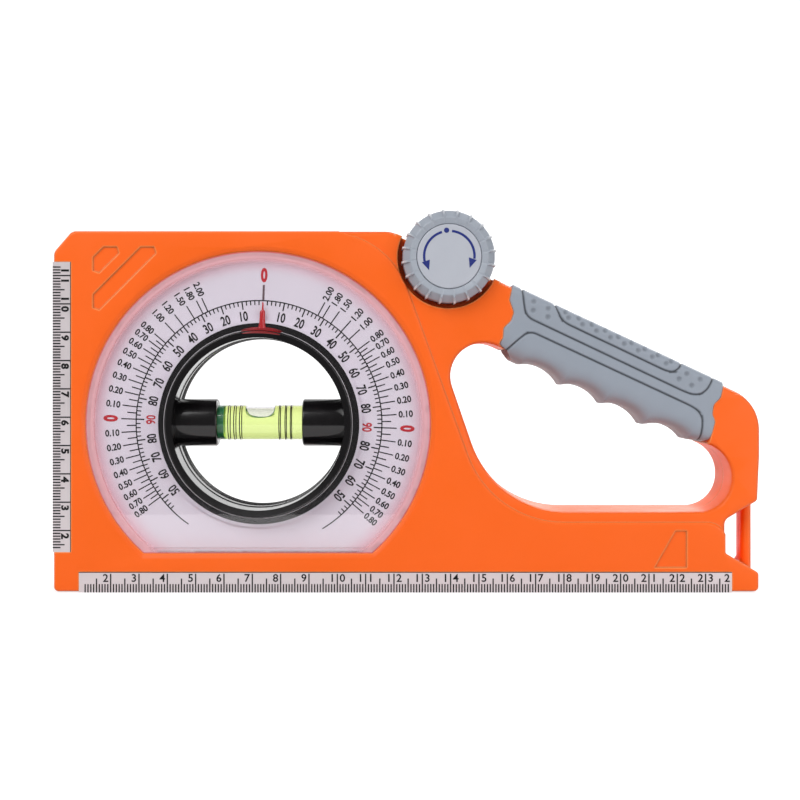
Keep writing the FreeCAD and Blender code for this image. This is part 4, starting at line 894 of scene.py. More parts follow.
def dial_lines(sizes, front, back):
    """Black circle with its ticks, and the fine red line: a tick is a stroke along a radius, from the circle
    inwards for degrees and outwards for slopes, on both sides of the top."""
    circle, line = sizes.circle / MM, sizes.line / MM
    skew, stop = math.degrees(sizes.print_skew), math.degrees(sizes.circle_end)
    last = math.degrees(sizes.tick_end)
    twos = np.arange(2.0, last + 0.1, 2.0)
    ticks = (
        (twos[twos % 10 != 0], -sizes.short_tick, line),
        (np.arange(10.0, last, 10.0), -sizes.long_tick, line * 1.15),
        (slope_turns(UPPER_SLOPES, LOWER_SLOPES), sizes.slope_tick, line),
        (slope_turns(PLAIN_SLOPES, PLAIN_SLOPES), sizes.slope_half, line),
        (np.array([90.0]), sizes.slope_tick, line),
    )
    black = [arc_band(DIAL, circle - line / 2, circle + line / 2, skew - stop, skew + stop, front, back, 260)]
    for turns, reach, width in ticks:
        both = np.concatenate([turns, -turns]) + skew
        black.append(spokes(DIAL, both, circle, circle + reach / MM, width, front, back))
    fine, half, end = sizes.red_circle / MM, sizes.red_line / MM / 2, math.degrees(sizes.red_end)
    return black, [arc_band(DIAL, fine - half, fine + half, -end, end, front, back, 200)]


def dial_figures(sizes, front, back):
    """Black figures and red ones: degrees upright on their radii inside the circle, slopes that read along
    their radii outside it, and three zeros."""
    skew = math.degrees(sizes.print_skew)
    black, red = [], []
    ring, tall = sizes.angle_radius / MM, sizes.angle_height / MM
    for turn in range(10, 140, 10):
        text, ink = str(min(turn, 180 - turn)), red if turn == 90 else black
        for side in (skew + turn, skew - turn):
            ink.append(figures(text, DIAL + clock(side) * ring, -side, tall, front, back, **ANGLE_FIGURES))
    ring, tall = sizes.slope_radius / MM, sizes.slope_height / MM
    slopes = np.concatenate([UPPER_SLOPES, LOWER_SLOPES])
    for slope, turn in zip(slopes, slope_turns(UPPER_SLOPES, LOWER_SLOPES)):
        turn += NUDGES.get(float(slope), 0.0)
        for side, square in ((skew + turn, 90), (skew - turn, -90)):
            black.append(figures(f"{slope:.2f}", DIAL + clock(side) * ring, square - side, tall, front, back,
                                 **SLOPE_FIGURES))
    ring, tall = sizes.zero_radius / MM, sizes.zero_height / MM
    for side in (skew + 90, skew - 90, skew):
        red.append(figures("0", DIAL + clock(side) * ring, -side, tall, front, back, **ZERO_FIGURES))
    return black, red


def turned_ring(centre, section, count=240):
    """Ring whose section of radii and depths turns about an axis through a centre, square to the dial."""
    ways = clock(np.linspace(0, 360, count, endpoint=False))
    section = np.asarray(section, float)
    points = np.empty((count, len(section), 3))
    points[..., 0] = centre[0] + ways[:, None, 0] * section[:, 0]
    points[..., 1] = section[:, 1]
    points[..., 2] = centre[1] + ways[:, None, 1] * section[:, 0]
    return points.reshape(-1, 3), skin(count, len(section), ring_rows=True)


def lip_ring(sizes, face):
    """Thin ring, L-shaped in section, that stands on the dial and reaches in over the turning ring's edge."""
    over, lip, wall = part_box("pointer")[1].y / MM, sizes.lip / MM, sizes.lip_wall / MM
    top, under, foot, inside = over - 0.1, over - 0.02, face + 0.05, wall - 0.13
    return turned_ring(DIAL, [(lip, top), (wall, top), (wall, foot), (inside, foot), (inside, under),
                              (lip, under)])


class INCLINOMETER_OT_dial_print(bpy.types.Operator):
    """Prints the angle and slope scales on the dial, and stands a fine lip round its hole"""
    bl_idname = "inclinometer.dial_print"
    bl_label = "Print the dial"

    def execute(self, context):
        sizes, colours = context.scene.inclinometer_dial, context.scene.inclinometer_colours
        face, circle, skew = front_of("dial_plate"), sizes.circle / MM, math.degrees(sizes.print_skew)
        depths = face - sizes.ink_depth / MM, face + INK_ROOT
        black_lines, red_lines = dial_lines(sizes, *depths)
        black_figures, red_figures = dial_figures(sizes, *depths)
        zero_tick = spokes(DIAL, [skew], circle, circle + sizes.zero_tick / MM, sizes.zero_line / MM, *depths)
        build_piece("dial_black_print", gather(black_lines + black_figures),
                    screen_ink("Black_Screen_Ink", colours.ink), "housing")
        build_piece("dial_red_print", gather(red_lines + red_figures),
                    screen_ink("Red_Screen_Ink", colours.red), "housing")
        build_piece("dial_lip", lip_ring(sizes, face), frame["nodes"]["dial_plate"].data.materials[0],
                    "housing")
        build_piece("dial_zero_tick", zero_tick, screen_ink("Brown_Screen_Ink", colours.brown), "housing")
        return {"FINISHED"}


# Each ruler: its rail, the way it runs, its zero, how many millimetres it leaves out first, its ticks'
# lengths at tens, fives and the rest, the gap over its figures, where one digit or two stand beside their
# tick, the way they read, and digits that its far end leaves alone.
RULERS = {
    "base_ruler_print": {"rail": "bottom_rail", "along": 0, "zero": "base_zero", "left_out": 2,
                         "ticks": (6.6, 4.9, 2.95), "gap": 0.65, "digits": ((-1.8,), (-1.8, 1.8)),
                         "reading": 0, "style": BASE_FIGURES, "cut_off": (("2", -1.7),)},
    "side_ruler_print": {"rail": "left_rail", "along": 2, "zero": "side_zero", "left_out": 1,
                         "ticks": (6.138, 4.185, 2.7435), "gap": 0.6, "digits": ((-2.0,), (1.8, -1.8)),
                         "reading": -90, "style": SIDE_FIGURES, "cut_off": ()},
}


def ruler_shape(ruler, sizes, ink_depth):
    """Ticks at whole millimetres from the zero, the centimetres' figures, and a hairline along the inner
    edge. A place is so far along the rail and so far out from its outer edge."""
    low, high = (np.array(corner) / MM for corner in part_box(ruler["rail"]))
    along, out = ruler["along"], 2 - ruler["along"]
    depths = low[1] - ink_depth, low[1] + INK_ROOT
    zero, tall = getattr(sizes, ruler["zero"]) / MM, sizes.figure_height / MM
    marks = np.arange(math.ceil(low[along] - zero) + ruler["left_out"], math.floor(high[along] - zero))
    tens, fives, ones = ruler["ticks"]
    reach = np.where(marks % 10 == 0, tens, np.where(marks % 5 == 0, fives, ones))

    def spot(run, rise):
        """Across and up of a place along the rail and out from it."""
        run, rise = np.broadcast_arrays(run, rise)
        return np.stack([run, rise] if along == 0 else [rise, run], -1)

    foot, border = low[out] + 0.05, high[out] - 0.1
    parts = [strokes(spot(zero + marks, foot), spot(zero + marks, foot + reach), sizes.line / MM, *depths),
             strokes(spot(low[along], border), spot(high[along], border), 0.2, *depths)]
    middle = high[out] - ruler["gap"] - tall / 2
    digits = [(digit, high[along] + off) for digit, off in ruler["cut_off"]]
    for reading in range(2, int(marks[-1]) // 10 + 1):
        text = str(reading)
        offs = ruler["digits"][len(text) - 1]
        digits += [(digit, zero + 10 * reading + off) for digit, off in zip(text, offs)]
    parts += [figures(digit, spot(run, middle), ruler["reading"], tall, *depths, **ruler["style"])
              for digit, run in digits]
    return gather(parts)


class INCLINOMETER_OT_ruler_print(bpy.types.Operator):
    """Prints the centimetre rulers along the base and the side"""
    bl_idname = "inclinometer.ruler_print"
    bl_label = "Print the rulers"

    def execute(self, context):
        sizes, colours = context.scene.inclinometer_ruler, context.scene.inclinometer_colours
        ink = screen_ink("Ruler_Ink", colours.ruler_ink)
        ink_depth = context.scene.inclinometer_dial.ink_depth / MM
        for name, ruler in RULERS.items():
            build_piece(name, ruler_shape(ruler, sizes, ink_depth), ink, "housing")
        return {"FINISHED"}


def bubble_floor(sizes, bore, off):
    """Height of the bubble's underside over the vial's axis at a distance from the bubble's middle: the
    bore's radius, less the bubble's depth times a step that is round at its ends, the superellipse of power
    2.6."""
    share = np.abs(off) / (sizes.bubble_length / MM / 2)
    return bore - sizes.bubble_depth / MM * np.clip(1 - share ** 2.6, 0, 1) ** (1 / 2.6)


def round_tube(line, inward, radius, sides=10):
    """Closed loop of tube: each point of the line, plus the radius times the cosine along the inward
    direction and the sine along the one square to it and to the line."""
    run = np.roll(line, -1, 0) - np.roll(line, 1, 0)
    run /= np.linalg.norm(run, axis=1)[:, None]
    square = np.cross(run, inward)
    turns = np.linspace(0, 2 * np.pi, sides, endpoint=False)[None, :, None]
    points = line[:, None] + radius * (np.cos(turns) * inward[:, None] + np.sin(turns) * square[:, None])
    return points.reshape(-1, 3), skin(len(line), sides, ring_rows=True)


def spirit_shape(sizes):
    """Liquid: at a turn from the top its radius is the bore's, or the bubble's underside over the cosine
    where that is less. It closes to a point at each end."""
    left, right, axis, bore = vial_bore()
    half = sizes.bubble_length / MM / 2
    along = np.concatenate([[left] * 2, DIAL[0] + half * np.linspace(-1.02, 1.02, 141), [right] * 2])
    turns = np.linspace(0, 2 * np.pi, 180, endpoint=False)
    floor = bubble_floor(sizes, bore, along - DIAL[0])[:, None]
    reach = np.minimum(bore, floor / np.maximum(np.cos(turns), 1e-3))
    reach[[0, -1]] = 0.0
    points = np.stack([np.broadcast_to(along[:, None], reach.shape), axis[1] + np.sin(turns) * reach,
                       axis[2] + np.cos(turns) * reach], -1)
    return points, skin(*reach.shape)


def bubble_shape(sizes):
    """Bubble: round each place along it, over the top just inside the bore, and straight back underneath."""
    _, _, axis, bore = vial_bore()
    along = sizes.bubble_length / MM / 2 * 0.995 * np.sin(np.linspace(-np.pi / 2, np.pi / 2, 91))[:, None]
    roof = bore - 0.02
    floor = np.minimum(bubble_floor(sizes, bore, along) + 0.04, roof)
    swing = np.arccos(floor / roof)
    over, under = np.linspace(-1, 1, 49), np.linspace(1, -1, 25)[1:-1]
    across = roof * np.concatenate([np.sin(swing * over), np.sin(swing) * under], 1)
    up = np.concatenate([roof * np.cos(swing * over), np.broadcast_to(floor, (len(along), len(under)))], 1)
    points = np.stack([np.broadcast_to(DIAL[0] + along, up.shape), axis[1] + across, axis[2] + up], -1)
    return points, skin(*up.shape)


def wet_edge_shape(sizes):
    """Tube along the bore's front where the bubble's underside meets it, and back along its rear."""
    _, _, axis, bore = vial_bore()
    inner = bore - 0.05
    along = sizes.bubble_length / MM / 2 * np.sin(np.linspace(-np.pi / 2, np.pi / 2, 81))
    up = np.minimum(bubble_floor(sizes, bore, along), inner)
    deep = np.sqrt(inner ** 2 - up ** 2)
    loop = np.concatenate([np.stack([along, -deep, up], -1), np.stack([along, deep, up], -1)[-2:0:-1]])
    inward = -loop * np.array([0.0, 1.0, 1.0])
    inward /= np.linalg.norm(inward, axis=1)[:, None]
    return round_tube(loop + np.array([DIAL[0], axis[1], axis[2]]), inward, sizes.wet_edge / MM)


VIAL_RINGS = np.array([-11.4, -9.3, -7.2, 6.9, 9.1, 11.0])     # across from the dial's middle


def vial_ring_shape(sizes):
    """Printed rings: across is the ring's place plus the section's, and its radius turns about the tube's
    axis."""
    axis = vial_bore()[2]
    low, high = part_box("vial_tube")
    radius, rise = (high.z - low.z) / MM / 2, sizes.ring_height / MM
    turns = np.linspace(0, 2 * np.pi, 96, endpoint=False)[:, None]
    section = np.array([[-0.5, -0.02], [-0.5, rise], [0.5, rise], [0.5, -0.02]])
    points = np.empty((len(VIAL_RINGS), len(turns), len(section), 3))
    points[..., 0] = DIAL[0] + VIAL_RINGS[:, None, None] + sizes.ring_width / MM * section[:, 0]
    points[..., 1] = axis[1] + np.cos(turns) * (radius + section[:, 1])
    points[..., 2] = axis[2] + np.sin(turns) * (radius + section[:, 1])
    faces = skin(len(turns), len(section), ring_rows=True)
    return gather([(one.reshape(-1, 3), faces) for one in points])


class INCLINOMETER_OT_vial(bpy.types.Operator):
    """Fills the vial with its liquid and bubble, and prints the fine rings round it"""
    bl_idname = "inclinometer.vial"
    bl_label = "Fill the vial"

    def execute(self, context):
        sizes, colours = context.scene.inclinometer_vial, context.scene.inclinometer_colours
        build_piece("vial_spirit", spirit_shape(sizes),
                    wet_in_tube("Dyed_Mineral_Spirit", colours.liquid, 8.0), "carrier",
                    replaced=("vial_liquid",), sharp=40.0)
        build_piece("vial_bubble", bubble_shape(sizes), wet_in_tube("Bubble_Vapour", colours.bubble, 4.0),
                    "carrier", sharp=40.0)
        # Painted shade: a dark green line where the bubble's underside meets the bore.
        build_piece("bubble_wet_edge_shade", wet_edge_shape(sizes), screen_ink("Wet_Edge", colours.wet_edge),
                    "carrier", sharp=60.0)
        build_piece("vial_rings", vial_ring_shape(sizes), screen_ink("Vial_Ring_Ink", colours.ring_ink),
                    "carrier")
        return {"FINISHED"}


def domed_band(line, widths, crowns, base, steps=11):
    """Closed ridge along a line in the dial's plane. Across runs from minus to plus half the width, square
    to the line, and the face stands off its base by the crown times the square root of one less the share
    squared."""
    run = np.gradient(line, axis=0)
    run /= np.linalg.norm(run, axis=1)[:, None]
    side = np.stack([run[:, 1], -run[:, 0]], -1)
    share = np.cos(np.linspace(np.pi, 0, steps))
    flat = line[:, None] + side[:, None] * (widths[:, None] / 2 * share)[..., None]
    deep = base - crowns[:, None] * np.sqrt(1 - share ** 2)
    points = np.stack([flat[..., 0], deep, flat[..., 1]], -1).reshape(-1, 3)
    return points, outward(points, skin(len(line), steps))


def pointer_shape(sizes, skew):
    """The pointer's foot, stem, root and skirt, and how much painted shade deepens its red at each point."""
    # It clears the dial's lip.
    seat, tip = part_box("pointer")[1].y / MM - 0.12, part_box("pointer")[1].z / MM - DIAL[1]
    crown, wide, swing = sizes.crown / MM, sizes.stem_width / MM, math.degrees(sizes.foot_swing)
    # Foot: a crescent, its width and crown those of an ellipse over its swing.
    turns = np.linspace(-swing, swing, 61)
    taper = np.sqrt(np.clip(1 - (turns / swing) ** 2, 0, 1))
    foot = domed_band(DIAL + clock(turns + skew) * sizes.foot_radius / MM, sizes.foot_width / MM * taper,
                      crown * np.sqrt(taper), seat)

    def crescent(radius, share, width, height, base):
        """Lower crescent over a share of the foot's swing."""
        return domed_band(DIAL + clock(turns * share + skew) * radius, width * taper, height * taper, base)

    # Root: on the collar, inside the foot. Skirt: over the edge of the window's hole, under the foot.
    root = crescent(32.4, 0.93, 0.85, 0.3, front_of("vial_carrier") + 0.02)
    skirt = crescent(33.3, 0.97, 0.7, 0.14, front_of("window") - 0.06)
    # Stem: wide to its shoulder, then a needle that narrows to a point.
    heel, shoulder, needle = 33.4, 39.6, 40.5
    up = np.concatenate([np.linspace(heel, shoulder, 20), np.linspace(shoulder + 0.1, needle, 12),
                         np.linspace(needle + 0.2, tip, 12)])
    widths = np.interp(up, [heel, 34.6, 36.0, shoulder, 40.1, 40.4, needle, tip - 0.4, tip],
                       [wide * 1.9, wide * 1.15, wide, wide * 0.9, wide * 0.72, wide * 0.42, 0.72, 0.5, 0.0])
    stem = domed_band(DIAL + clock(skew) * up[:, None], widths, crown * np.clip(widths / wide, 0, 1) ** 0.5,
                      seat)
    # Painted shade: the red deepens towards the foot's ends and is deepest in the root, which the foot
    # shades.
    steps = len(foot[0]) // len(turns)
    red_shade = np.concatenate([np.repeat(0.6 + (turns / swing) ** 2 * 0.35, steps), np.zeros(len(stem[0])),
                             np.full(len(root[0]), 0.75), np.full(len(skirt[0]), 0.6)])
    return gather([foot, stem, root, skirt]), red_shade


# Depth and size of each bead in the ring's bore.
BEADS = ((0.4, 0.28), (6.5, 0.16), (8.4, 0.28), (10.6, 0.16), (12.8, 0.2))


def bead_shape(sizes):
    """Fine round rings that stand off the bore, and one at the collar's front."""
    turns = np.linspace(0, 2 * np.pi, 10, endpoint=False)
    circle = np.stack([np.cos(turns), np.sin(turns)], -1)
    rings = [(sizes.bore / MM, depth, size) for depth, size in BEADS]
    rings.append((32.8, front_of("vial_carrier") + 0.2, 0.26))
    return gather([turned_ring(DIAL, np.array([radius, depth]) + circle * size)
                   for radius, depth, size in rings])


def hole_edge_shape(sizes):
    """Edge of the window's hole: a fine square ring, just proud of the pane."""
    pane, inner = front_of("window"), sizes.hole / MM + 0.03
    outer, front, back = inner + 0.22, pane - 0.03, pane + 0.5
    return turned_ring(DIAL, [(inner, back), (inner, front), (outer, front), (outer, back)])


class INCLINOMETER_OT_ring_trim(bpy.types.Operator):
    """Builds the domed pointer, the fine beads in the ring's bore and the bright edge of the window's hole"""
    bl_idname = "inclinometer.ring_trim"
    bl_label = "Trim the ring"

    def execute(self, context):
        sizes, colours = context.scene.inclinometer_pointer, context.scene.inclinometer_colours
        shape, red_shade = pointer_shape(sizes, math.degrees(context.scene.inclinometer_dial.print_skew))
        build_piece("domed_pointer", shape, gloss_styrene(colours), "carrier", replaced=("pointer",),
                    sharp=60.0, marks={"red_shade": red_shade})
        build_piece("ring_beads", bead_shape(sizes), polished("Polished_Black_ABS", colours.bead, 0.12, 3.0),
                    "carrier", sharp=60.0)
        # Painted highlight: the pale ring stands for the light along the edge of the window's hole.
        build_piece("window_hole_edge_highlight", hole_edge_shape(sizes), sawn_acrylic(colours), "housing")
        return {"FINISHED"}


def wheel_section(sizes, proud):
    """Closed radius-and-depth line of the knob's section, each corner with how far it is eased: cap seat,
    front, bevel, side, back, shaft bore, screw hole through the web, screw head's bore and seat floor."""
    front, back = (corner.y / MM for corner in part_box("knob"))
    seat, outer = sizes.seat / MM, sizes.rim / MM + proud
    # The bevel is deeper between the ribs.
    bevel = sizes.bevel / MM * (1.0 if proud else 1.3)
    shaft, hole, head = sizes.shaft_bore / MM, sizes.screw_hole / MM, sizes.head_bore / MM
    shaft_front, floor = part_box("knob_shaft")[0].y / MM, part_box("knob_cap")[1].y / MM
    web_front = shaft_front - sizes.web / MM
    line = np.array([
        (seat, front + sizes.dish / MM, 0.25), (outer - bevel, front, 0.35), (outer, front + bevel, 0.5),
        (outer, back, 0.4), (shaft, back, 0.02), (shaft, shaft_front, 0.02), (hole, shaft_front, 0.02),
        (hole, web_front, 0.02), (head, web_front, 0.02), (head, floor, 0.05), (seat, floor, 0.05)])
    return soft_corners(line[:, :2], line[:, 2], 6)


def ribbed_wheel(sizes):
    """The knob, and how much painted highlight its ribs get at each point. A radius or depth is the plain
    section's, plus the rise to the ribbed section's where the angle is within half a rib of a rib's middle."""
    plain, ribbed = wheel_section(sizes, 0.0), wheel_section(sizes, sizes.rib / MM)
    count, pitch = sizes.ribs * 36, 2 * np.pi / sizes.ribs
    turns = np.linspace(0, 2 * np.pi, count, endpoint=False)
    off = np.abs((turns - sizes.first_rib + pitch / 2) % pitch - pitch / 2) * sizes.rim / MM
    ease = 0.12
    share = 1 - np.clip((off - sizes.rib_width / MM / 2 + ease) / (2 * ease), 0, 1)
    share = (share * share * (3 - 2 * share))[:, None]
    radius, depth = (plain[:, way] + share * (ribbed[:, way] - plain[:, way]) for way in (0, 1))
    points = np.stack([WHEEL[0] + np.sin(turns)[:, None] * radius, depth,
                       WHEEL[1] + np.cos(turns)[:, None] * radius], -1)
    # Painted highlight: ribs are painted paler from 2.2 mm outside the cap.
    painted_highlight = share * np.clip(plain[:, 0] - sizes.seat / MM - 2.2, 0, 1)
    return (points.reshape(-1, 3), skin(count, len(plain), ring_rows=True)), painted_highlight


# Each arrow on the cap: where its arc starts and stops, and its head's tip and root from the knob's middle.
ARROWS = ((6.0, 96.0, (7.1, -4.1), (8.2, -0.9)), (-102.0, -17.0, (-7.1, -4.9), (-8.2, -1.7)))


def cap_print_shape(sizes):
    """Two arrows along one arc, each with a three-cornered head, and a dot between them."""
    face = front_of("knob_cap")
    front, back = face - 0.05, face + INK_ROOT
    arc, half = sizes.arc / MM, sizes.arc_width / MM / 2
    dot = WHEEL + clock(math.degrees(sizes.dot_turn)) * sizes.dot_place / MM
    outline = dot + clock(np.linspace(0, 360, 28, endpoint=False)) * sizes.dot / MM
    parts = [plate(outline, front, back)]
    for start, stop, tip, root in ARROWS:
        parts.append(arc_band(WHEEL, arc - half, arc + half, start, stop, front, back, 60))
        tip, root = WHEEL + tip, WHEEL + root
        way = (tip - root) / np.linalg.norm(tip - root)
        square = np.array([way[1], -way[0]]) * sizes.arrow / MM
        parts.append(plate([tip, root + square, root - square], front - 0.02, back))
    return gather(parts)


class INCLINOMETER_OT_knob(bpy.types.Operator):
    """Builds the ribbed knob and the arrows on its cap"""
    bl_idname = "inclinometer.knob"
    bl_label = "Build the knob"

    def execute(self, context):
        sizes, colours = context.scene.inclinometer_wheel, context.scene.inclinometer_colours
        shape, painted_highlight = ribbed_wheel(sizes)
        build_piece("ribbed_knob", shape, satin_abs("Satin_Grey_ABS", colours.knob), "knob_assembly",
                    replaced=("knob",), sharp=50.0, marks={"painted_highlight": painted_highlight})
        build_piece("cap_print", cap_print_shape(sizes), screen_ink("Navy_Pad_Ink", colours.navy),
                    "knob_assembly")
        return {"FINISHED"}


HANDLE_HEIGHT = 67.0                           # height of the handle's right corner
# Outer points round a section, sections between the close ones at the ends, and outer points to an inner one.
AROUND, ALONG, STRIDE = 249, 318, 8
# Lines on the grip, as distances along the handle from its right corner and below its top line.
GROOVES = (
    ((93.3, -1.5), (90.0, 4.4), (87.6, 7.4), (26.0, 7.8), (21.6, 7.4), (18.9, 4.6), (18.6, -1.5)),
    ((80.6, -1.5), (77.5, 1.9), (75.2, 3.6), (33.8, 3.9), (31.3, 2.6), (30.9, -1.5)),
    ((89.6, 22.5), (86.3, 14.4), (84.4, 11.4), (20.3, 11.4), (17.0, 12.4), (15.3, 15.1), (13.8, 19.7),
     (13.0, 22.5)),
)
# The left end's distances are from the knob's middle instead.
LEFT_END = ((24.4, -3.0), (26.0, 4.5), (29.3, 7.8), (29.6, 11.0), (28.3, 14.3), (29.6, 17.6), (29.0, 20.2),
            (32.5, 21.1), (35.6, 23.2), (38.0, 24.6))
RIGHT_END = ((14.9, -3.0), (13.4, 4.3), (14.6, 7.5), (13.6, 10.9), (11.6, 12.7), (10.9, 16.7), (10.2, 20.6),
             (11.4, 23.0), (12.4, 24.6))
# How far the underside draws in at places along the handle, apart from its scallops.
DRAWN_IN = ((9.0, 3.0), (17.0, 0.85), (32.0, -1.0), (49.0, -0.3), (65.0, -0.5), (82.0, 0.0))


def dimple_places():
    """Middles of the dimples along and below the handle's top line: two long rows and two corner groups."""
    row = np.stack([74.0 - 5.44 * np.arange(8), np.full(8, 1.45)], -1)
    upper = np.stack([75.8 - 5.15 * np.arange(9), np.full(9, 0.05)], -1)
    corners = [(87.6, 1.4), (86.5, 4.4), (81.9, 1.5), (80.8, 4.3), (27.8, 1.7), (29.5, 4.6), (22.7, 1.5),
               (24.5, 4.8)]
    return np.concatenate([row, np.array(corners)]), upper


def grip_section(sizes, face):
    """The section's outer points from the top over the front to the underside, their outward directions, and
    its inner points, each as a distance below the handle's top line and a depth."""
    proud, width, wall = sizes.proud / MM, sizes.width / MM, sizes.wall / MM
    steps = 24
    path = soft_corners([(-proud, SPLIT), (-proud, face), (width, face), (width, SPLIT),
                         (width * 3, SPLIT * 9)],
                        [0.0, sizes.top_corner / MM, sizes.corner / MM, 0.0, 0.0], steps)
    outer = evenly(path[steps - 1:1 - 2 * steps], AROUND)
    step = np.gradient(outer, axis=0)
    normal = np.stack([step[:, 1], -step[:, 0]], -1)
    normal /= np.linalg.norm(normal, axis=1)[:, None]
    top, bottom, back = wall, sizes.handle / MM - wall, face + wall + 0.5
    inner = evenly([(top, SPLIT), (top, back), (bottom, back), (bottom, SPLIT)], (AROUND - 1) // STRIDE + 1)
    return outer, normal, inner


def underside_rise(sizes, along):
    """How far the underside rises at places along the handle: the height of an arc above its chord, a fourth
    of the scallops' whole length long, and how far it draws in there."""
    first, last, depth = sizes.scallop_first / MM, sizes.scallop_last / MM, sizes.scallop_depth / MM
    pitch = (first - last) / 4
    radius = pitch ** 2 / (8 * depth) + depth / 2
    off = (along - last) % pitch - pitch / 2
    rise = np.sqrt(radius ** 2 - off ** 2) - (radius - depth)
    rise = np.where((along > last) & (along < first), rise, 0.0)
    return rise + np.interp(along, *zip(*DRAWN_IN))


def grip_marks(sizes, places, deep, face):
    """How far each outer point lies in a groove and in a dimple, from 0 to 1: a groove is a smooth step of
    the distance from its line, and a dimple one less the square of the distance from its middle."""
    below, half = places[..., 1], sizes.groove_width / MM / 2
    groove, dimple = np.zeros(below.shape), np.zeros(below.shape)
    for line in GROOVES:
        reach = distance_to_line(places, eased_line(line, 2.6, 7))
        groove = np.maximum(groove, 1 - np.clip(reach / half, 0, 1))
    groove = groove * groove * (3 - 2 * groove)
    rows, upper = dimple_places()
    for spots, size in ((rows, sizes.dimple / MM), (upper, sizes.dimple / MM * 0.9)):
        for spot in spots:
            reach = np.linalg.norm(places - spot, axis=-1)
            dimple = np.maximum(dimple, 1 - np.clip(reach / size, 0, 1) ** 2)
    # Both stay on the front, except that grooves run on over the top and the underside.
    dimple *= (deep < face + 4.5)
    groove *= (deep < face + 6.0) | (below < 2.0) | (below > 18.0)
    return groove, dimple


def grip_half(sizes, mirror):
    """Half of the grip as a skin of two parameters, and how much shade is painted on it at each point. One
    parameter runs along the handle between the two wavy ends. The other goes round a section: out over the
    outside from the top to the underside and back inside. A point is the handle's corner, less its along and
    its below in the handle's two directions. The underside rises, and grooves, dimples and the ends' round
    edges sink along the section's own normal."""
    corner = np.array([RIGHT, HANDLE_HEIGHT])
    slope = math.atan2(WHEEL[1] - corner[1], corner[0] - WHEEL[0])
    whole = float(np.hypot(*(WHEEL - corner)))
    face = front_of("front_grip")
    outer, normal, inner = grip_section(sizes, face)
    left, right = eased_line(LEFT_END, 0.9), eased_line(RIGHT_END, 0.9)
    left_edge = whole - np.interp(outer[:, 0], left[:, 1], left[:, 0])
    right_edge = np.interp(outer[:, 0], right[:, 1], right[:, 0])
    near_ends = np.array([0.0, 0.0006, 0.0015, 0.003, 0.0055, 0.009])
    share = np.concatenate([near_ends, np.linspace(0.013, 0.987, ALONG), 1 - near_ends[::-1]])
    along = right_edge + share[:, None] * (left_edge - right_edge)
    from_end = np.minimum(along - right_edge, left_edge - along)
    # The rise comes in from 12.5 mm below the top line.
    lowness = np.clip((outer[:, 0] - 12.5) / (sizes.width / MM - 12.5), 0, 1) ** 2.2
    below = outer[:, 0] - underside_rise(sizes, along) * lowness
    deep = np.broadcast_to(outer[:, 1], below.shape)
    groove, dimple = grip_marks(sizes, np.stack([along, below], -1), deep, face)
    edge = 0.55
    lip = np.where(from_end < edge, edge - np.sqrt(np.clip(edge ** 2 - (edge - from_end) ** 2, 0, None)), 0.0)
    sink = groove * sizes.groove_depth / MM + dimple * sizes.dimple_depth / MM + lip
    inside = np.broadcast_to(inner[::-1], (len(share), len(inner), 2))
    round_below = np.concatenate([below - normal[:, 0] * sink, inside[..., 0]], 1)
    round_deep = np.concatenate([deep - normal[:, 1] * sink, inside[..., 1]], 1)
    round_along = np.concatenate([along, along[:, ::-STRIDE]], 1)
    if mirror:
        round_deep = 2 * SPLIT - round_deep
    points = np.stack([
        corner[0] - round_along * math.cos(slope) - round_below * math.sin(slope),
        round_deep,
        corner[1] + round_along * math.sin(slope) - round_below * math.cos(slope),
    ], -1)
    rows, columns = points.shape[:2]
    # Each end is closed by fans: every inner point faces a stride of outer ones, and then the next inner one.
    j, m = np.arange(AROUND - 1), np.arange(len(inner) - 1)
    fans = np.stack([j, j + 1, columns - 1 - j // STRIDE], -1)
    links = np.stack([(m + 1) * STRIDE, columns - 2 - m, columns - 1 - m], -1)
    cap = np.concatenate([fans, links])
    faces = np.concatenate([halves(skin(rows, columns)), cap[:, ::-1], cap + (rows - 1) * columns])
    # Painted shade: grooves are painted darker, and dimples less so.
    painted_groove_shade = np.concatenate([np.clip(groove ** 1.6 + 0.42 * dimple, 0, 1), np.zeros(inside.shape[:2])], 1)
    return (points.reshape(-1, 3), faces), painted_groove_shade


class INCLINOMETER_OT_grip(bpy.types.Operator):
    """Builds both halves of the soft grip"""
    bl_idname = "inclinometer.grip"
    bl_label = "Build the grip"

    def execute(self, context):
        sizes, colours = context.scene.inclinometer_grip, context.scene.inclinometer_colours
        finish = soft_tpr(colours)
        for name, node, mirror in (("front_soft_grip", "front_grip", False),
                                   ("rear_soft_grip", "rear_grip", True)):
            shape, painted_groove_shade = grip_half(sizes, mirror)
            build_piece(name, shape, finish, "housing", replaced=(node,), sharp=50.0,
                        marks={"painted_groove_shade": painted_groove_shade})
        return {"FINISHED"}


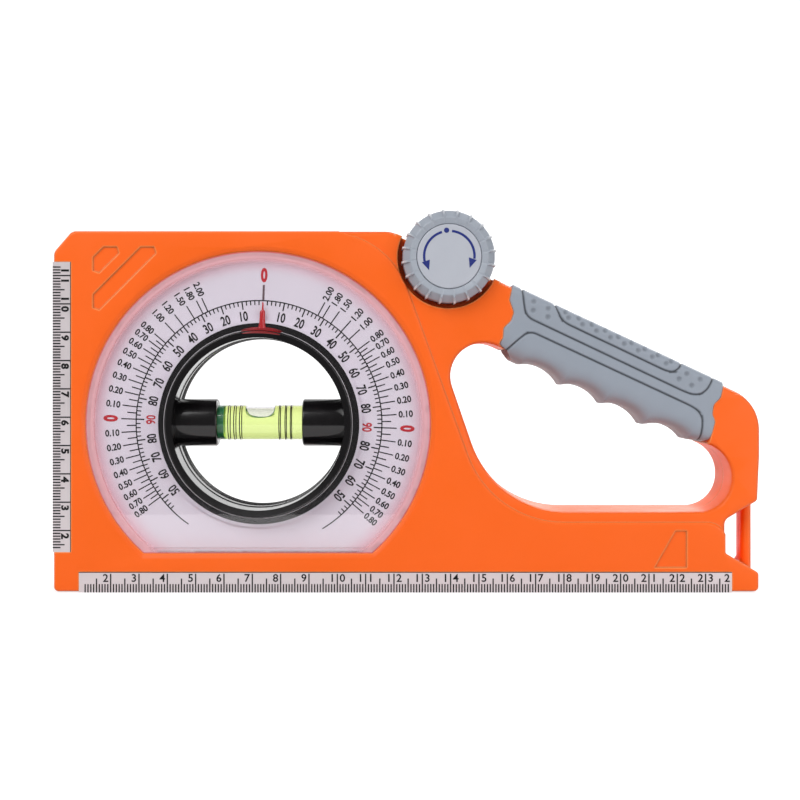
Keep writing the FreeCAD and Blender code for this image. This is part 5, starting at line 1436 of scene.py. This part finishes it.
def screw_shape(sizes):
    """One screw about the axis of depth, from its tip to its head's flat top: radius and depth turn about the
    axis, and the head sinks by the recess, two crossed slots that end a reach from the middle."""
    low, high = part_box("housing_screws")
    head, shank, tip, top = sizes.head / MM, sizes.shank / MM, low.y / MM, high.y / MM
    seat, crown = top - sizes.height / MM, head * 0.6
    section = soft_corners([(0.0, tip), (shank, tip + 1.0), (shank, seat), (head, seat), (head, seat + 0.9),
                            (crown, top), (0.0, top), (-5.0, (tip + top) / 2)],
                           [0.0, 0.3, 0.1, 0.1, 0.5, 1.1, 0.0, 0.0], 10)[9:-19]
    side = section[(section[:, 0] > -1e-9) & (section[:, 1] < top - 1e-6)]
    flat = np.linspace(crown, 0, 26)
    radius = np.concatenate([side[:, 0], flat])
    depth = np.concatenate([side[:, 1], np.full(len(flat), top)])
    turns = np.linspace(0, 2 * np.pi, 120, endpoint=False)[:, None]
    across, up = np.cos(turns) * radius, np.sin(turns) * radius

    def arm(aside, out):
        """Depth of one slot, from 0 to 1, that far aside of its middle line and out from the screw's axis."""
        wall = np.clip((sizes.slot / MM / 2 - np.abs(aside)) / 0.12, 0, 1)
        return wall * np.clip((sizes.reach / MM - np.abs(out)) / 0.5, 0, 1)

    recess = np.maximum(arm(across, up), arm(up, across)) * (depth > top - 0.05) * sizes.recess / MM
    points = np.stack([across, depth - recess, up], -1).reshape(-1, 3)
    return points, outward(points, skin(*across.shape, ring_rows=True, ring_columns=False))


class INCLINOMETER_OT_screws(bpy.types.Operator):
    """Builds the cross-recess screws that hold the halves together"""
    bl_idname = "inclinometer.screws"
    bl_label = "Build the screws"

    def execute(self, context):
        colours = context.scene.inclinometer_colours
        points, faces = screw_shape(context.scene.inclinometer_screw)
        screws = [(points + np.array([across, 0, up]), faces) for across, up in screw_places()]
        build_piece("cross_recess_screws", gather(screws), zinc_plated_steel(colours), "housing",
                    replaced=("housing_screws",))
        return {"FINISHED"}


# Across and up of each screw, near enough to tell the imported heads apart.
SCREWS = np.array([(-114.2, 119.0), (-112.0, 18.8), (5.5, 16.0), (101.0, 17.5), (28.55, 98.97)])


def screw_places():
    """Across and up of each screw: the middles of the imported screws' separate heads."""
    mesh = frame["nodes"]["housing_screws"].data
    points = np.empty(len(mesh.vertices) * 3)
    mesh.vertices.foreach_get("co", points)
    flat = points.reshape(-1, 3)[:, [0, 2]] / MM
    nearest = np.linalg.norm(flat[:, None] - SCREWS[None], axis=-1).argmin(1)
    heads = [flat[nearest == index] for index in range(len(SCREWS))]
    return [(head.min(0) + head.max(0)) / 2 for head in heads]


def area_light(name, place, target, size, power):
    """Square soft light at a place, facing a target."""
    light = bpy.data.lights.new(name, "AREA")
    light.shape = "SQUARE"
    light.size = size
    light.energy = power
    lamp = bpy.data.objects.new(name, light)
    lamp.location = place
    way = np.array(target, float) - np.array(place, float)
    lamp.rotation_euler = (math.atan2(math.hypot(way[0], way[1]), -way[2]), 0.0, math.atan2(-way[0], way[1]))
    bpy.context.scene.collection.objects.link(lamp)


class INCLINOMETER_OT_studio(bpy.types.Operator):
    """Sets the seamless paper, the soft lights and the camera"""
    bl_idname = "inclinometer.studio"
    bl_label = "Set the studio"

    def execute(self, context):
        scene = context.scene
        sizes, colours = scene.inclinometer_studio, scene.inclinometer_colours
        # Paper: a profile of floor, quarter curve and wall, carried straight across.
        turns = np.linspace(0, np.pi / 2, 24)
        floor_end, round_off = 900.0, 500.0
        bend = np.stack([floor_end + round_off * np.sin(turns), round_off - round_off * np.cos(turns)], -1)
        line = np.concatenate([[[-250.0, 0.0]], bend, [[floor_end + round_off, 2600.0]]])
        across = np.linspace(-3000, 3000, 9)
        points = np.empty((len(line), len(across), 3))
        points[..., 0] = across
        points[..., 1] = line[:, :1]
        points[..., 2] = line[:, 1:]
        mesh = bpy.data.meshes.new("seamless_paper")
        mesh.from_pydata(points.reshape(-1, 3) * MM, [], skin(len(line), len(across), ring_columns=False))
        mesh.shade_smooth()
        mesh.materials.append(studio_paper(colours.paper, sizes.glow))
        paper = bpy.data.objects.new("seamless_paper", mesh)
        scene.collection.objects.link(paper)

        middle = (0.0, 0.0, 0.07)
        area_light("Key", (-0.75, -1.0, 1.05), middle, 0.9, sizes.key_power)
        area_light("Fill", (1.0, -1.0, 0.35), middle, 1.0, sizes.fill_power)
        area_light("Back", (0.6, 0.95, 0.85), middle, 0.7, sizes.rim_power)

        world = bpy.data.worlds.new("Studio_Air")
        world.use_nodes = True
        tree = world.node_tree
        tree.nodes.clear()
        # White where it is looked at, straight or through clear plastic, and darker where gloss reflects it.
        path = add(tree, "ShaderNodeLightPath")
        bounces = add(tree, "ShaderNodeMath", {0: path.outputs["Glossy Depth"],
                                               1: path.outputs["Diffuse Depth"]})
        direct = add(tree, "ShaderNodeMath", {0: bounces.outputs[0], 1: 0.5}, operation="LESS_THAN")
        through = add(tree, "ShaderNodeMath", {0: path.outputs["Is Transmission Ray"], 1: direct.outputs[0]},
                      operation="MULTIPLY")
        seen = add(tree, "ShaderNodeMath", {0: path.outputs["Is Camera Ray"], 1: through.outputs[0]},
                   operation="MAXIMUM")
        unseen = add(tree, "ShaderNodeMapRange", {"Value": path.outputs["Is Diffuse Ray"],
                                                  "To Min": sizes.reflected, "To Max": sizes.sky})
        strength = add(tree, "ShaderNodeMix", {"Factor": seen.outputs[0], "A": unseen.outputs[0], "B": 1.0})
        sky = add(tree, "ShaderNodeBackground", {"Color": (1.0, 1.0, 1.0, 1.0),
                                                 "Strength": strength.outputs["Result"]})
        add(tree, "ShaderNodeOutputWorld", {"Surface": sky.outputs[0]})
        scene.world = world

        lens = bpy.data.cameras.new("Camera")
        lens.lens = sizes.lens
        lens.sensor_width = 36.0
        lens.shift_x, lens.shift_y = sizes.shift, -sizes.shift
        camera = bpy.data.objects.new("Camera", lens)
        camera.location = sizes.camera
        camera.rotation_euler = (math.pi / 2, 0.0, 0.0)
        scene.collection.objects.link(camera)
        scene.camera = camera
        scene.view_settings.view_transform = "Standard"
        return {"FINISHED"}


class INCLINOMETER_PT_sidebar(bpy.types.Panel):
    """Lists the pieces that can be built"""
    bl_label = "Inclinometer"
    bl_idname = "INCLINOMETER_PT_sidebar"
    bl_space_type = "VIEW_3D"
    bl_region_type = "UI"
    bl_category = "Inclinometer"

    def draw(self, context):
        for operator in OPERATORS:
            self.layout.operator(operator.bl_idname)


GROUPS = {
    "inclinometer_colours": FinishColours,
    "inclinometer_dial": DialSizes,
    "inclinometer_ruler": RulerSizes,
    "inclinometer_vial": VialSizes,
    "inclinometer_pointer": PointerSizes,
    "inclinometer_wheel": WheelSizes,
    "inclinometer_grip": GripSizes,
    "inclinometer_screw": ScrewSizes,
    "inclinometer_studio": StudioSizes,
}
OPERATORS = (
    INCLINOMETER_OT_studio,
    INCLINOMETER_OT_finishes,
    INCLINOMETER_OT_dial_print,
    INCLINOMETER_OT_ruler_print,
    INCLINOMETER_OT_vial,
    INCLINOMETER_OT_ring_trim,
    INCLINOMETER_OT_knob,
    INCLINOMETER_OT_grip,
    INCLINOMETER_OT_screws,
)


def register():
    for group in GROUPS.values():
        bpy.utils.register_class(group)
    for operator in OPERATORS:
        bpy.utils.register_class(operator)
    bpy.utils.register_class(INCLINOMETER_PT_sidebar)
    for name, group in GROUPS.items():
        setattr(bpy.types.Scene, name, PointerProperty(type=group))


def unregister():
    for name in GROUPS:
        delattr(bpy.types.Scene, name)
    bpy.utils.unregister_class(INCLINOMETER_PT_sidebar)
    for operator in reversed(OPERATORS):
        bpy.utils.unregister_class(operator)
    for group in reversed(list(GROUPS.values())):
        bpy.utils.unregister_class(group)


def main():
    register()
    bpy.ops.inclinometer.studio()
    bpy.ops.inclinometer.finishes()
    bpy.ops.inclinometer.dial_print()
    bpy.ops.inclinometer.ruler_print()
    bpy.ops.inclinometer.vial()
    bpy.ops.inclinometer.ring_trim()
    bpy.ops.inclinometer.knob()
    bpy.ops.inclinometer.grip()
    bpy.ops.inclinometer.screws()


if __name__ == "__main__":
    main()
